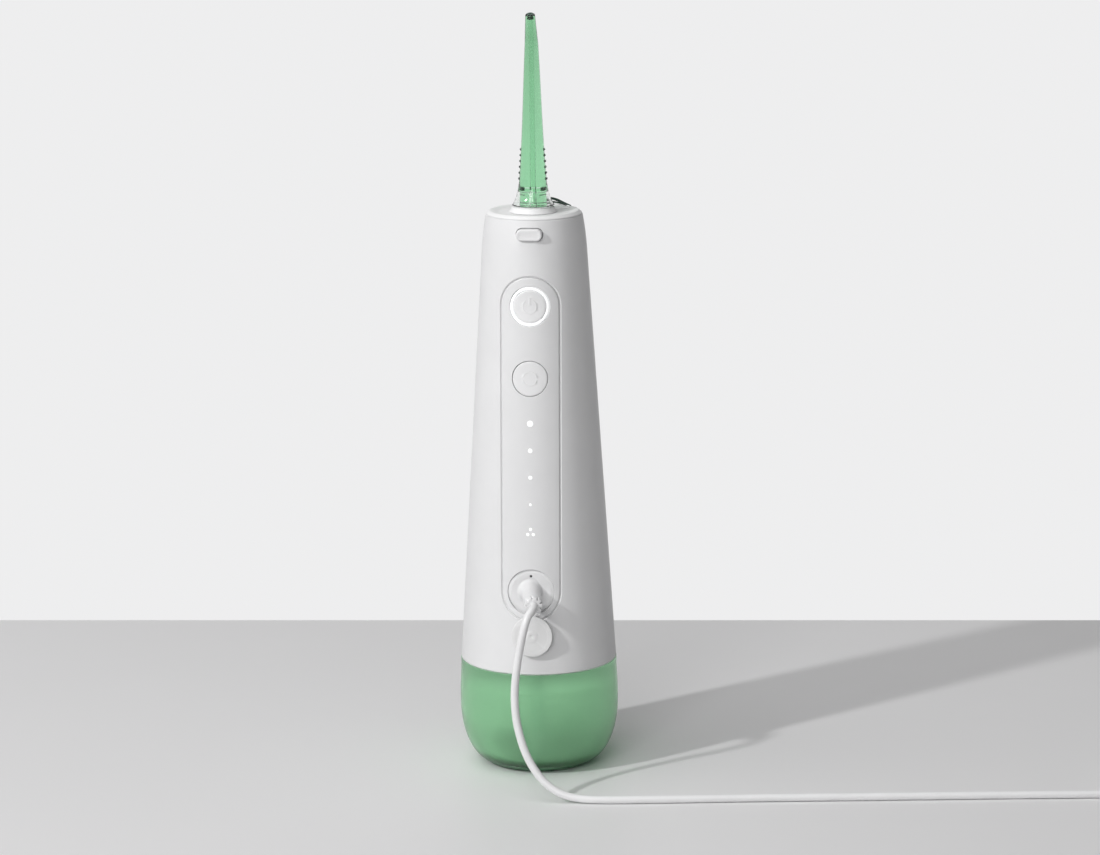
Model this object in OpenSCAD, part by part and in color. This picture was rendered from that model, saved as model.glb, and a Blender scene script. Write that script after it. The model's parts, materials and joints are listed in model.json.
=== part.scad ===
// Cordless water flosser: a tapered handle standing on a clear tank, with a jet nozzle and its
// charging lead plugged in. The front faces -Y, +Z is up, and the base is centred on the origin.

/* [Handle] */
// Height of the seam between the tank and the handle
seam_z = 41; // [38:0.5:60]
// Outer radius of the handle at the seam
seam_r = 29.85; // [28:0.05:37]
// Length of the handle, from the seam to the parting line of its top cap
handle_h = 172; // [160:1:220]
// Radius lost from the seam to the shoulder
taper_drop = 10; // [8:0.1:11]
// Length of the rounded shoulder under the top cap
shoulder_h = 13; // [10:0.5:18]
// Radius lost over the shoulder
shoulder_drop = 1.6; // [1.2:0.1:2]
// Wall thickness of the handle's housing
wall = 2; // [1.6:0.1:2.4]

/* [Tank] */
// How far the tank bulges beyond the seam
tank_bulge = 0.6; // [0:0.1:1.5]
// Height of the tank's widest ring
belly_z = 25; // [20:0.5:30]
// Radius of the flat that the tank stands on
foot_r = 17; // [14:0.5:20]
// Wall thickness of the tank
tank_wall = 2.2; // [1.8:0.1:2.8]
// Height of the collar that goes up inside the handle
collar_h = 7; // [6:0.5:9]

/* [Front controls] */
// Half the width of the control panel
panel_r = 11.4; // [10.8:0.1:13]
// Thickness of the panel insert
panel_t = 1.2; // [1:0.05:1.3]
// Distance of the power button below the cap's parting line
power_drop = 32; // [30:0.5:36]
// Radius of the power button
power_r = 6.2; // [5.5:0.1:6.6]
// Width of the lit ring round the power button
ring_w = 1.05; // [0.8:0.05:1.3]
// Radius of the mode button
mode_r = 6.6; // [5.5:0.1:7.5]
// Travel of the power and mode buttons
press = 0.6; // [0.4:0.1:0.8]
// Distance of the nozzle release button below the cap's parting line
release_drop = 5.2; // [5:0.1:5.4]
// Length of the release button
release_l = 9.8; // [9:0.1:11]
// Height of the release button
release_h = 4.4; // [4:0.1:4.6]
// Travel of the release button
release_travel = 1.5; // [1:0.1:1.6]

/* [Charging port] */
// Height of the port's centre above the seam
port_rise = 31.8; // [30:0.2:36]
// Radius of the port's recess
port_r = 8.8; // [8.4:0.1:9.4]
// Depth of the port's recess
port_depth = 2.2; // [2:0.1:2.6]
// Radius of the plug's barrel
barrel_r = 4.6; // [4:0.1:5]
// Length of the plug's barrel
barrel_l = 6.5; // [5:0.5:7]
// Thickness of the rubber port cover
cover_t = 1.6; // [1.4:0.1:1.8]

/* [Nozzle] */
// Distance of the nozzle's axis in front of the handle's axis
nozzle_y = 3; // [2:0.1:3.2]
// Length of the nozzle's straight stem above its dial
stem_l = 60.4; // [50:0.2:72]
// Radius of the stem above its foot
stem_r = 4.7; // [4.4:0.1:5]
// Radius of the stem where it starts to bend
tip_r = 2.55; // [2.3:0.05:3]
// Length of the bent tip
tip_l = 12; // [10:0.5:14]
// Angle of the bent tip
tip_angle = 18; // [10:1:25]
// Radius of the water channel
channel_r = 0.9; // [0.7:0.1:1]
// Radius of the part that plugs into the handle
spigot_r = 3.6; // [3.4:0.05:3.8]
// Reach of the thumb tab from the nozzle's axis
tab_reach = 17.5; // [14:0.5:18]
// Direction of the thumb tab, from +X towards the back
tab_angle = 45; // [0:5:90]

/* [Drive and pump] */
// Module of the gear teeth
tooth = 0.6; // [0.5:0.05:0.6]
// Teeth of the motor's pinion
pinion_teeth = 12; // [12:2:14]
// Teeth of the crank gear
gear_teeth = 36; // [32:2:36]
// Offset of the eccentric, which is half the piston's stroke
throw = 1.8; // [1.4:0.1:2]
// Radius of the motor's can
motor_r = 10.2; // [9:0.1:10.4]
// Length of the motor's can
motor_l = 15; // [12:0.5:16]
// Bore radius of the pump's cylinder
bore_r = 4; // [3.6:0.1:4.2]
// Length of the pump's cylinder
cylinder_l = 18; // [16:0.5:20]
// Diameter of the battery cell
cell_d = 18.2; // [14:0.1:18.4]
// Length of the battery cell
cell_l = 50; // [45:1:55]

/* [Charging lead] */
// Radius of the cable
cable_r = 1.5; // [1.3:0.1:1.6]
// Mean radius of the stored coil
coil_r = 18; // [15:0.5:18]
// Turns side by side in the stored coil
coil_across = 3; // [2:1:3]
// Layers of turns in the stored coil
coil_layers = 2; // [1:1:2]

/* [Hidden] */
$fn = 64;

// Clearances: a seat, a running fit, and the gap round a button or an insert
seat = 0.3;
run = 0.05;
gap = 0.2;

// Places on the handle that follow from the dimensions above
cap_z = seam_z + handle_h;
shoulder_z = cap_z - shoulder_h;
shoulder_r = seam_r - taper_drop;
cap_r = shoulder_r - shoulder_drop;
taper = taper_drop / (shoulder_z - seam_z);
tilt = atan(taper);
housing_z = seam_z + seat;
power_z = cap_z - power_drop;
port_z = seam_z + port_rise;
release_z = cap_z - release_drop;

// Outer and inner radius of the straight part of the housing at a height
function shell_r(z) = seam_r - taper * (z - seam_z);
function inner_r(z) = shell_r(z) - wall;

// The mode button, the indicator lights and their cluster, spaced from the power button down
control_span = power_z - port_z;
mode_z = power_z - 0.25 * control_span;
light_z = [for (i = [0 : 3]) power_z - (0.406 + 0.0945 * i) * control_span];
light_r = [1.15, 0.85, 0.75, 0.5];
cluster_z = power_z - 0.787 * control_span;
cluster_r = 0.6;
cluster = [[0, 1.1], [-1.05, -0.8], [1.05, -0.8]];

// Puts its children on the front face at a height, with their +Z along the outward normal
module on_front(z) {
  translate([0, -shell_r(z), z]) rotate([90 - tilt, 0, 0]) children();
}

// Extrudes a drawing in X and Z along Y, from the back to the front
module extrude_y(back, front) {
  translate([0, back, 0]) rotate([90, 0, 0]) linear_extrude(back - front) children();
}

// A cylinder along Y, from the back to the front
module rod_y(r, back, front, x = 0, z = 0) {
  translate([x, back, z]) rotate([90, 0, 0]) cylinder(r = r, h = back - front);
}

// A cylinder along Z, between two heights
module rod_z(r, low, high, x = 0, y = 0) {
  translate([x, y, low]) cylinder(r = r, h = high - low);
}

// A ring of round section about Z
module torus(ring_r, section_r) {
  rotate_extrude() translate([ring_r, 0]) circle(r = section_r);
}

// A box between two corners
module block(low, high) {
  translate(low) cube(high - low);
}

// A pill outline centred on the origin, long across X
module pill(l, h) {
  square([l - h, h], center = true);
  for (s = [-1, 1]) translate([s * (l - h) / 2, 0]) circle(r = h / 2);
}

// A tube of flat-sided rings along a path
function unit(v) = v / norm(v);
function path_dir(p, i) = unit(p[min(i + 1, len(p) - 1)] - p[max(i - 1, 0)]);
function path_side(p, i) = unit(cross(path_dir(p, i), [0.13, 0.09, 1]));
function path_ring(p, i, r, n) = [
  for (k = [0 : n - 1])
    p[i] + r * cos(360 * k / n) * path_side(p, i)
      + r * sin(360 * k / n) * cross(path_dir(p, i), path_side(p, i))
];
module sweep(p, r, n = 8) {
  last = len(p) - 1;
  points = [for (i = [0 : last]) each path_ring(p, i, r, n)];
  sides = [
    for (i = [0 : last - 1], k = [0 : n - 1])
      let (a = i * n + k, b = i * n + (k + 1) % n) each [[a, a + n, b + n], [a, b + n, b]]
  ];
  ends = [
    [for (k = [0 : n - 1]) k],
    [for (k = [0 : n - 1]) last * n + n - 1 - k]
  ];
  polyhedron(points, concat(sides, ends), convexity = 6);
}

// Points of a smooth curve through a list of points, a few to each span
function curve_at(a, b, c, d, t) =
  0.5 * (2 * b + (c - a) * t + (2 * a - 5 * b + 4 * c - d) * t * t
    + (3 * b - a - 3 * c + d) * t * t * t);
function smooth(p, steps) = [
  for (i = [0 : len(p) - 2], s = [0 : steps - 1])
    curve_at(p[max(i - 1, 0)], p[i], p[i + 1], p[min(i + 2, len(p) - 1)], s / steps),
  p[len(p) - 1]
];

// A helical spring about Z that stands on z = 0
module coil_spring(r, wire_r, l, turns, per_turn = 10) {
  rise = l - 2 * wire_r;
  sweep([
    for (i = [0 : turns * per_turn])
      [r * cos(360 * i / per_turn), r * sin(360 * i / per_turn),
       wire_r + rise * i / (turns * per_turn)]
  ], wire_r, 6);
}

// The housing's outline, from its lower edge to the cap, moved inwards by a distance
shoulder_slope = taper * shoulder_h;
function outline(inset) = concat(
  [[shell_r(housing_z) - inset, housing_z]],
  [for (t = [0 : 0.25 : 1])
    [shoulder_r - shoulder_slope * t - (shoulder_drop - shoulder_slope) * t * t - inset,
     shoulder_z + shoulder_h * t]]
);
function reversed(v) = [for (i = [len(v) - 1 : -1 : 0]) v[i]];

// Everything inside the housing's outline, moved inwards by a distance
module body_solid(inset) {
  rotate_extrude() polygon(concat([[0, housing_z]], outline(inset), [[0, cap_z]]));
}

// ---- Tank, the base of the object ---------------------------------------------------------------

collar_r = seam_r - wall - 0.85;
collar_bore_r = collar_r - 2;
collar_top = seam_z + collar_h;
tank_r = seam_r + tank_bulge;
tank_floor = tank_wall + 0.4;

// The tank's round corner, from its foot up to its belly
function tank_corner(foot, belly, low) = [
  for (a = [0 : 10 : 90])
    [foot + (belly - foot) * pow(sin(a), 0.92), belly_z - (belly_z - low) * pow(cos(a), 0.92)]
];

module tank_shell() {
  color([0.52, 0.73, 0.58, 0.6]) rotate_extrude() polygon(concat(
    [[0, 0]],
    tank_corner(foot_r, tank_r, 0),
    [[seam_r + 0.1, seam_z], [collar_r, seam_z], [collar_r, collar_top],
     [collar_bore_r, collar_top], [collar_bore_r, seam_z - 3], [tank_r - tank_wall, seam_z - 6]],
    reversed(tank_corner(foot_r - 1, tank_r - tank_wall, tank_floor)),
    [[0, tank_floor]]
  ));
}

// ---- Bulkhead that plugs into the tank's collar ---------------------------------------------------

pump_y = -7.6;
bulkhead_z = collar_top + 0.4;
bulkhead_top = bulkhead_z + 2.6;
plug_r = collar_bore_r - 0.25;
plug_z = seam_z + 1;
seal_z = (plug_z + bulkhead_z) / 2;
seal_section = 1;
seal_ring_r = collar_bore_r - run - seal_section;
hose_bore_r = 1.45;
hose_r = 2.1;
nipple_r = hose_bore_r - run;
suction_r = 2.6;
suction_bore_r = 1.9;
post_r = 2.6;
post_h = 7;
post_ring_r = 17.5;
post_angles = [90, 210, 330];
screw_r = 0.95;

module bulkhead() {
  color("gainsboro") difference() {
    union() {
      rod_z(inner_r(bulkhead_z) - seat - 0.2, bulkhead_z, bulkhead_top);
      rod_z(plug_r, plug_z, bulkhead_z);
      rod_z(nipple_r, bulkhead_top, bulkhead_top + 5, y = pump_y);
    }
    difference() {
      rod_z(seal_ring_r - seal_section - 1.6, plug_z - 1, bulkhead_z);
      rod_z(suction_bore_r - run, plug_z + 1, bulkhead_z + 1, y = pump_y);
    }
    difference() {
      rod_z(plug_r + 1, seal_z - seal_section - run, seal_z + seal_section + run);
      rod_z(seal_ring_r - seal_section - 0.02, seal_z - 3, seal_z + 3);
    }
    rod_z(channel_r, plug_z, bulkhead_top + 6, y = pump_y);
    for (a = post_angles)
      rotate([0, 0, a]) rod_z(screw_r + gap, bulkhead_z - 1, bulkhead_top + 1, x = post_ring_r);
  }
}

module tank_seal() {
  color("white") translate([0, 0, seal_z]) torus(seal_ring_r, seal_section);
}

module housing_screws() {
  color("silver") for (a = post_angles) rotate([0, 0, a]) {
    rod_z(screw_r, bulkhead_z, bulkhead_top + post_h - 1.5, x = post_ring_r);
    rod_z(1.9, bulkhead_z - 1.5, bulkhead_z, x = post_ring_r);
  }
}

module suction_tube() {
  color([0.85, 0.9, 0.9, 0.6]) difference() {
    rod_z(suction_r, tank_floor + 5, bulkhead_z - seat, y = pump_y);
    rod_z(suction_bore_r, tank_floor, bulkhead_z, y = pump_y);
  }
}

module inlet_filter() {
  filter_z = tank_floor + 1;
  color("white") difference() {
    rod_z(suction_r + 1.6, filter_z, filter_z + 7, y = pump_y);
    rod_z(suction_r + run, filter_z + 4, filter_z + 8, y = pump_y);
    rod_z(suction_bore_r, filter_z + 1, filter_z + 5, y = pump_y);
    translate([0, pump_y, filter_z + 2]) for (a = [0, 90])
      rotate([90, 0, a]) cylinder(r = 0.8, h = 20, center = true);
  }
}

// ---- Housing of the handle ------------------------------------------------------------------------

ring_in_r = power_r + 0.15;
ring_out_r = ring_in_r + ring_w;
port_front = -shell_r(port_z);
recess_y = port_front + port_depth;
socket_r = barrel_r + 1.6;
port_boss_back = recess_y + 2.8;

// Outline of the control panel in X and Z, moved inwards by a distance
module panel_outline(inset) {
  r = panel_r - inset;
  translate([-r, port_z]) square([2 * r, power_z - port_z]);
  for (z = [port_z, power_z]) translate([0, z]) circle(r = r);
}

// The holes that the controls and lights need, made wider by a distance
module control_holes(extra) {
  on_front(power_z) translate([0, 0, -9]) cylinder(r = ring_out_r + extra, h = 12);
  on_front(mode_z) translate([0, 0, -9]) cylinder(r = mode_r + extra, h = 12);
  for (i = [0 : len(light_z) - 1])
    on_front(light_z[i]) translate([0, 0, -9]) cylinder(r = light_r[i] + extra, h = 12);
  on_front(cluster_z) for (p = cluster)
    translate([p.x, p.y, -9]) cylinder(r = cluster_r + extra, h = 12);
}

anchor_w = 5;
anchor_h = 1.2;
anchor_back = recess_y + 1.2;
anchor_top = port_z - port_r - 0.3;
hinge_z = port_z - port_r + seat;
hinge_y = -shell_r(hinge_z) - seat;

module anchor_slot() {
  block([-anchor_w / 2 - run, -2 * seam_r, anchor_top - anchor_h - run],
    [anchor_w / 2 + run, anchor_back + run, anchor_top + run]);
}

module outer_housing() {
  color("white") difference() {
    union() {
      rotate_extrude() polygon(concat(outline(0), reversed(outline(wall))));
      intersection() {
        body_solid(wall / 2);
        rod_y(port_r + 1.6, port_boss_back, port_front - 5, z = port_z);
      }
      for (a = post_angles) intersection() {
        body_solid(wall / 2);
        rotate([0, 0, a]) union() {
          rod_z(post_r, bulkhead_top, bulkhead_top + post_h, x = post_ring_r);
          block([post_ring_r, -1.2, bulkhead_top], [seam_r, 1.2, bulkhead_top + post_h]);
        }
      }
    }
    intersection() {
      extrude_y(0, -2 * seam_r) panel_outline(0);
      difference() {
        body_solid(-5);
        body_solid(panel_t);
      }
    }
    control_holes(gap);
    rod_y(port_r, recess_y, 2 * port_front, z = port_z);
    rod_y(socket_r + run, 0, 2 * port_front, z = port_z);
    for (a = post_angles)
      rotate([0, 0, a]) rod_z(screw_r + run, bulkhead_top - 1, bulkhead_top + post_h - 1,
        x = post_ring_r);
    extrude_y(0, -2 * seam_r) translate([0, release_z])
      pill(release_l + 2 * gap, release_h + 2 * gap);
    anchor_slot();
  }
}

module control_panel() {
  color("whitesmoke") difference() {
    intersection() {
      extrude_y(0, -2 * seam_r) panel_outline(gap);
      difference() {
        body_solid(0);
        body_solid(panel_t - 2 * run);
      }
    }
    control_holes(gap);
    rod_y(port_r, 0, 2 * port_front, z = port_z);
    anchor_slot();
  }
}

plate_z = cap_z - 0.9;
cap_top = cap_z + 1.5;
dish_z = cap_z + 1.1;
skirt_r = cap_r - wall - run;
sleeve_r = 6.05;
post_y = 9.2;

module top_cap() {
  color("white") difference() {
    union() {
      rotate_extrude() polygon([
        [0, plate_z], [skirt_r - 1.8, plate_z], [skirt_r - 1.8, cap_z - 5],
        [skirt_r, cap_z - 5], [skirt_r, cap_z + run], [cap_r, cap_z + run],
        [cap_r - 0.5, cap_z + 0.6], [cap_r - 1.4, cap_top - 0.2], [cap_r - 2.4, cap_top],
        [cap_r - 3.2, cap_top - 0.1], [cap_r - 5, dish_z], [0, dish_z]
      ]);
      block([-3, post_y, release_z - 2.5], [3, post_y + 1.8, plate_z + 0.5]);
    }
    translate([0, -nozzle_y, 0]) rod_z(sleeve_r + seat, plate_z - 1, cap_top + 1);
    block([-8, -seam_r, cap_z - 6], [8, -9, plate_z]);
  }
}

// ---- Controls and lights --------------------------------------------------------------------------

board_depth = 7.5;
board_t = 1.2;
board_w = 20;
board_low = port_z + 14;
board_high = power_z + 9;
button_back = 3.6;
switch_h = 2.6;
stem_hole_r = 1.8;

module circuit_board() {
  middle = (board_low + board_high) / 2;
  length = (board_high - board_low) / cos(tilt);
  color("darkgreen") on_front(middle)
    translate([-board_w / 2, -length / 2, -board_depth - board_t])
    cube([board_w, length, board_t]);
}

module tact_switches() {
  color("dimgray") for (z = [power_z, mode_z])
    on_front(z) translate([0, 0, -board_depth]) difference() {
      translate([-3, -3, 0]) cube([6, 6, switch_h]);
      translate([0, 0, 1.4]) cylinder(r = stem_hole_r, h = 3);
    }
}

// A lamp on the board's front, under the point given on the front face
module led(x, y, w) {
  translate([x - w / 2, y - w / 2, -board_depth]) cube([w, w, 0.8]);
}

module indicator_leds() {
  color("lightyellow") {
    for (z = light_z) on_front(z) led(0, 0, 1.8);
    on_front(cluster_z) led(0, 0, 3);
    on_front(power_z) for (s = [-1, 1]) led(s * (ring_in_r + ring_w / 2), 0, 1.2);
  }
}

module light_guide() {
  guide_back = wall + 3;
  guide_front = wall + seat;
  middle = (light_z[0] + cluster_z) / 2;
  length = light_z[0] - cluster_z + 7;
  color([0.95, 0.95, 0.95, 0.8]) intersection() {
    body_solid(0);
    union() {
      on_front(middle) translate([-2, -length / 2, -guide_back])
        cube([4, length, guide_back - guide_front]);
      for (i = [0 : len(light_z) - 1])
        on_front(light_z[i]) translate([0, 0, -guide_front - 0.5])
        cylinder(r = light_r[i], h = guide_front + 2);
      on_front(cluster_z) for (p = cluster)
        translate([p.x, p.y, -guide_front - 0.5]) cylinder(r = cluster_r, h = guide_front + 2);
    }
  }
}

module power_light_ring() {
  color([1, 1, 1, 0.9]) intersection() {
    body_solid(0);
    on_front(power_z) translate([0, 0, -button_back - 0.8]) difference() {
      cylinder(r = ring_out_r, h = 9);
      translate([0, 0, -1]) cylinder(r = ring_in_r, h = 12);
    }
  }
}

// A push button whose face follows the front, with a stem into its switch
module push_button(z, r) {
  color("white") {
    intersection() {
      body_solid(0.1);
      on_front(z) translate([0, 0, -button_back]) cylinder(r = r, h = 9);
    }
    on_front(z) translate([0, 0, -board_depth + 1.4 + press + 0.2])
      cylinder(r = stem_hole_r - seat, h = board_depth - button_back - 1.4 - press);
  }
}

module power_button() {
  push_button(power_z, power_r);
}

module mode_button() {
  push_button(mode_z, mode_r);
}

// ---- Charging port --------------------------------------------------------------------------------

pin_x = 2;
pin_r = 0.75;
socket_floor = recess_y + barrel_l + 2 * seat;
socket_back = socket_floor + 1.6;

module charge_socket() {
  color("dimgray") difference() {
    union() {
      rod_y(socket_r, socket_back, recess_y + 0.2, z = port_z);
      rod_y(socket_r + 1.6, socket_back, port_boss_back, z = port_z);
    }
    rod_y(barrel_r + seat, socket_floor, recess_y - 1, z = port_z);
    for (s = [-1, 1]) rod_y(pin_r, socket_back + 1, socket_floor - 1, x = s * pin_x, z = port_z);
  }
}

module charge_pins() {
  color("gold") for (s = [-1, 1])
    rod_y(pin_r, socket_back + 1.5, recess_y + 2, x = s * pin_x, z = port_z);
}

cover_r = port_r - 0.35;
cover_z = hinge_z - cover_r;

module port_cover() {
  color("white") on_front(cover_z) {
    translate([0, 0, seat + 0.1]) cylinder(r = cover_r, h = cover_t);
    translate([0, 0, seat + 0.1 + cover_t]) cylinder(r = 1.6, h = 0.8);
  }
}

module cover_anchor() {
  color("white") intersection() {
    body_solid(0);
    block([-anchor_w / 2, -seam_r, anchor_top - anchor_h], [anchor_w / 2, anchor_back, anchor_top]);
  }
}

// ---- Nozzle release -------------------------------------------------------------------------------

release_face = -shoulder_r - 1.1;
socket_rim_r = 8.3;
flange_front = -15.3;
flange_back = -14.3;
latch_half = 0.9;
latch_back = socket_rim_r - nozzle_y + gap;

module release_button() {
  color("white") {
    extrude_y(flange_front, release_face) translate([0, release_z]) pill(release_l, release_h);
    extrude_y(flange_back, flange_front) translate([0, release_z])
      pill(release_l + 3, release_h + 0.6);
  }
}

module release_latch() {
  opening_r = spigot_r + gap;
  color("lightgray") difference() {
    block([-5.5, flange_back, release_z - latch_half], [5.5, latch_back, release_z + latch_half]);
    for (y = [-nozzle_y, -nozzle_y - release_travel])
      rod_z(opening_r, release_z - 2, release_z + 2, y = y);
    block([-opening_r, -nozzle_y - release_travel, release_z - 2],
      [opening_r, -nozzle_y, release_z + 2]);
  }
}

module release_spring() {
  color("silver") translate([0, post_y - run, release_z]) rotate([90, 0, 0])
    coil_spring(1.4, 0.25, post_y - latch_back - 2 * run, 5);
}

// ---- Nozzle, its dial and its socket --------------------------------------------------------------

socket_z = cap_z - 21;
water_z = socket_z + 1.5;
nipple_z = socket_z + 3.2;
outlet_x = -14;
outlet_y = -6;
sleeve_z = release_z + latch_half + seat;
dial_r = 7.8;
dial_base = cap_top + 0.2;
dial_top = cap_z + 3.6;

module nozzle_socket() {
  color("gainsboro") difference() {
    union() {
      rod_z(6, socket_z, plate_z, y = -nozzle_y);
      rod_z(socket_rim_r, release_z - latch_half - 1.8, plate_z, y = -nozzle_y);
      translate([0, outlet_y, nipple_z]) rotate([0, -90, 0]) cylinder(r = nipple_r, h = 9.8);
    }
    rod_z(spigot_r + 0.1, water_z, plate_z, y = -nozzle_y);
    rod_z(sleeve_r + run, release_z + latch_half + gap, plate_z + 1, y = -nozzle_y);
    block([-5.8, -seam_r, release_z - latch_half - gap],
      [5.8, latch_back + release_travel + 1, release_z + latch_half + gap]);
    translate([0, outlet_y, nipple_z]) rotate([0, -90, 0]) cylinder(r = channel_r, h = 12);
  }
}

module nozzle_dial() {
  color("white") translate([0, -nozzle_y, 0]) rotate_extrude() polygon([
    [spigot_r + gap, sleeve_z], [sleeve_r, sleeve_z], [sleeve_r, dial_base],
    [dial_r, dial_base], [dial_r, dial_base + 0.7], [dial_r - 0.3, dial_top - 0.5],
    [dial_r - 0.8, dial_top], [spigot_r + gap, dial_top]
  ]);
}

spigot_z = water_z + 3.5;
ring_groove_z = spigot_z + 3;
ring_section = 0.8;
ring_r = spigot_r + 0.1 - run - ring_section;
foot_z = dial_top + run;
bend_z = foot_z + stem_l;
rib_z = foot_z + 9.6;
tip_end_r = 1.8;
jet_r = 1.25;
jet_l = 1.6;

// Radius of the stem's taper at a height above the bend's start
function stem_at(z) = stem_r + (tip_r - stem_r) * (z - rib_z) / (bend_z - rib_z);

// Puts its children at the bend, with +Z along the tip
module along_tip() {
  translate([0, -nozzle_y, bend_z]) rotate([tip_angle, 0, 0]) children();
}

module nozzle_outside() {
  translate([0, -nozzle_y, 0]) {
    rotate_extrude() polygon([
      [0, spigot_z], [spigot_r, spigot_z], [spigot_r, foot_z], [5.2, foot_z],
      [5.25, foot_z + 3], [6.1, foot_z + 2.4], [7.4, foot_z + 0.2], [8, foot_z + 0.2],
      [6.8, foot_z + 2.4], [6, foot_z + 5], [5.3, foot_z + 8], [stem_r, foot_z + 12],
      [tip_r, bend_z], [0, bend_z]
    ]);
    rotate([0, 0, tab_angle]) rotate([90, 0, 0]) linear_extrude(4, center = true) polygon([
      [4.5, foot_z + 3.5], [7.9, foot_z + 0.4], [8.4, dial_base + 0.3],
      [tab_reach, dial_base + 0.2], [tab_reach, dial_base + 0.8], [14, foot_z + 0.6],
      [10.5, foot_z + 2.4], [7.5, foot_z + 3.8], [4.5, foot_z + 5]
    ]);
    for (i = [0 : 5], s = [0, 180]) {
      z = rib_z + 2.2 * i;
      rotate([0, 0, s]) block([stem_at(z) - 0.8, -1.5, z], [stem_at(z) + 0.45, 1.5, z + 0.8]);
    }
  }
  translate([0, -nozzle_y, bend_z]) sphere(r = tip_r);
  along_tip() cylinder(r1 = tip_r, r2 = tip_end_r, h = tip_l);
}

module nozzle() {
  color([0.45, 0.8, 0.52, 0.6]) difference() {
    nozzle_outside();
    rod_z(channel_r, spigot_z - 1, bend_z, y = -nozzle_y);
    translate([0, -nozzle_y, bend_z]) sphere(r = channel_r);
    along_tip() cylinder(r = channel_r, h = tip_l + 1);
    along_tip() translate([0, 0, tip_l - jet_l]) cylinder(r = jet_r + 0.02, h = jet_l + 1);
    translate([0, -nozzle_y, 0]) difference() {
      rod_z(spigot_r + 1, ring_groove_z - ring_section - run,
        ring_groove_z + ring_section + run);
      rod_z(ring_r - ring_section - 0.02, ring_groove_z - 3, ring_groove_z + 3);
    }
  }
}

module nozzle_seal() {
  color("black") translate([0, -nozzle_y, ring_groove_z]) torus(ring_r, ring_section);
}

module jet_tip() {
  color("darkgreen") along_tip() translate([0, 0, tip_l - jet_l]) difference() {
    cylinder(r = jet_r, h = jet_l + 0.2);
    translate([0, 0, -1]) cylinder(r = 0.35, h = jet_l + 2);
  }
}

// ---- Chassis, battery and motor -------------------------------------------------------------------

spine_t = 2;
motor_z = cap_z - 53;
pinion_r = tooth * pinion_teeth / 2;
gear_r = tooth * gear_teeth / 2;
gear_z = motor_z - pinion_r - gear_r;
gear_back = -spine_t - 0.6;
gear_front = gear_back - 3.4;
shaft_r = 1;
axle_r = 1.25;
cell_y = cell_d / 2 + 2 * seat;
cell_z = bulkhead_top + post_h + 2;
spine_top = cap_z - 23;
motor_screw_x = 7;

// Two blocks on the spine's back that hold the cell in a half-round
module cell_cradle(z) {
  difference() {
    block([-cell_d / 2 - 2, -0.5, z], [cell_d / 2 + 2, cell_y + 2, z + 3]);
    rod_z(cell_d / 2 + seat, z - 1, z + 4, y = cell_y);
  }
}

module chassis() {
  color("lightslategray") difference() {
    union() {
      extrude_y(0, -spine_t) polygon([
        [-inner_r(bulkhead_top) + 0.8, bulkhead_top], [inner_r(bulkhead_top) - 0.8, bulkhead_top],
        [inner_r(spine_top) - 0.6, spine_top], [-inner_r(spine_top) + 0.6, spine_top]
      ]);
      for (z = [cell_z + 6, cell_z + cell_l - 9]) cell_cradle(z);
      for (s = [-1, 1], z = [cylinder_top + 4, board_high - 12]) {
        behind_board = shell_r(z) - board_depth - board_t - seat - 0.25;
        rod_y(1.6, -spine_t + 0.5, -behind_board, x = s * 8, z = z);
      }
    }
    rod_y(pinion_r + tooth + 0.6, 1, -spine_t - 1, z = motor_z);
    rod_y(axle_r + 0.01, 1, -spine_t - 1, z = gear_z);
    for (s = [-1, 1]) rod_y(0.8, 1, -spine_t - 1, x = s * motor_screw_x, z = motor_z);
  }
}

module battery_cell() {
  color("mediumseagreen") {
    rod_z(cell_d / 2, cell_z, cell_z + cell_l, y = cell_y);
    rod_z(3, cell_z + cell_l, cell_z + cell_l + 1, y = cell_y);
  }
}

module motor_can() {
  color("silver") difference() {
    rod_y(motor_r, motor_l, 0, z = motor_z);
    rod_y(motor_r - 1, motor_l + 1, 1.6, z = motor_z);
    rod_y(shaft_r + run, 3, -1, z = motor_z);
    for (s = [-1, 1]) rod_y(0.75, 3, -1, x = s * motor_screw_x, z = motor_z);
  }
}

module motor_end_cap() {
  color("black") difference() {
    rod_y(motor_r - 1 - 0.02, motor_l, motor_l - 2, z = motor_z);
    rod_y(shaft_r + run, motor_l + 1, motor_l - 3, z = motor_z);
  }
}

module motor_screws() {
  color("silver") for (s = [-1, 1]) {
    rod_y(0.7, 1.4, -spine_t, x = s * motor_screw_x, z = motor_z);
    rod_y(1.5, -spine_t, -spine_t - 1, x = s * motor_screw_x, z = motor_z);
  }
}

module motor_armature() {
  color("peru") {
    rod_y(shaft_r, motor_l - 0.5, gear_front, z = motor_z);
    rod_y(motor_r - 2.6, motor_l - 3.5, 3.5, z = motor_z);
  }
}

// Points of an involute gear tooth's flank, in polar form about the gear's centre
pressure = 20;
function roll_at(base_r, r) = r > base_r ? sqrt(pow(r / base_r, 2) - 1) * 180 / PI : 0;
function flank_angle(base_r, r) = roll_at(base_r, r) - atan(roll_at(base_r, r) * PI / 180);
function polar(r, a) = [r * cos(a), r * sin(a)];

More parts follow.
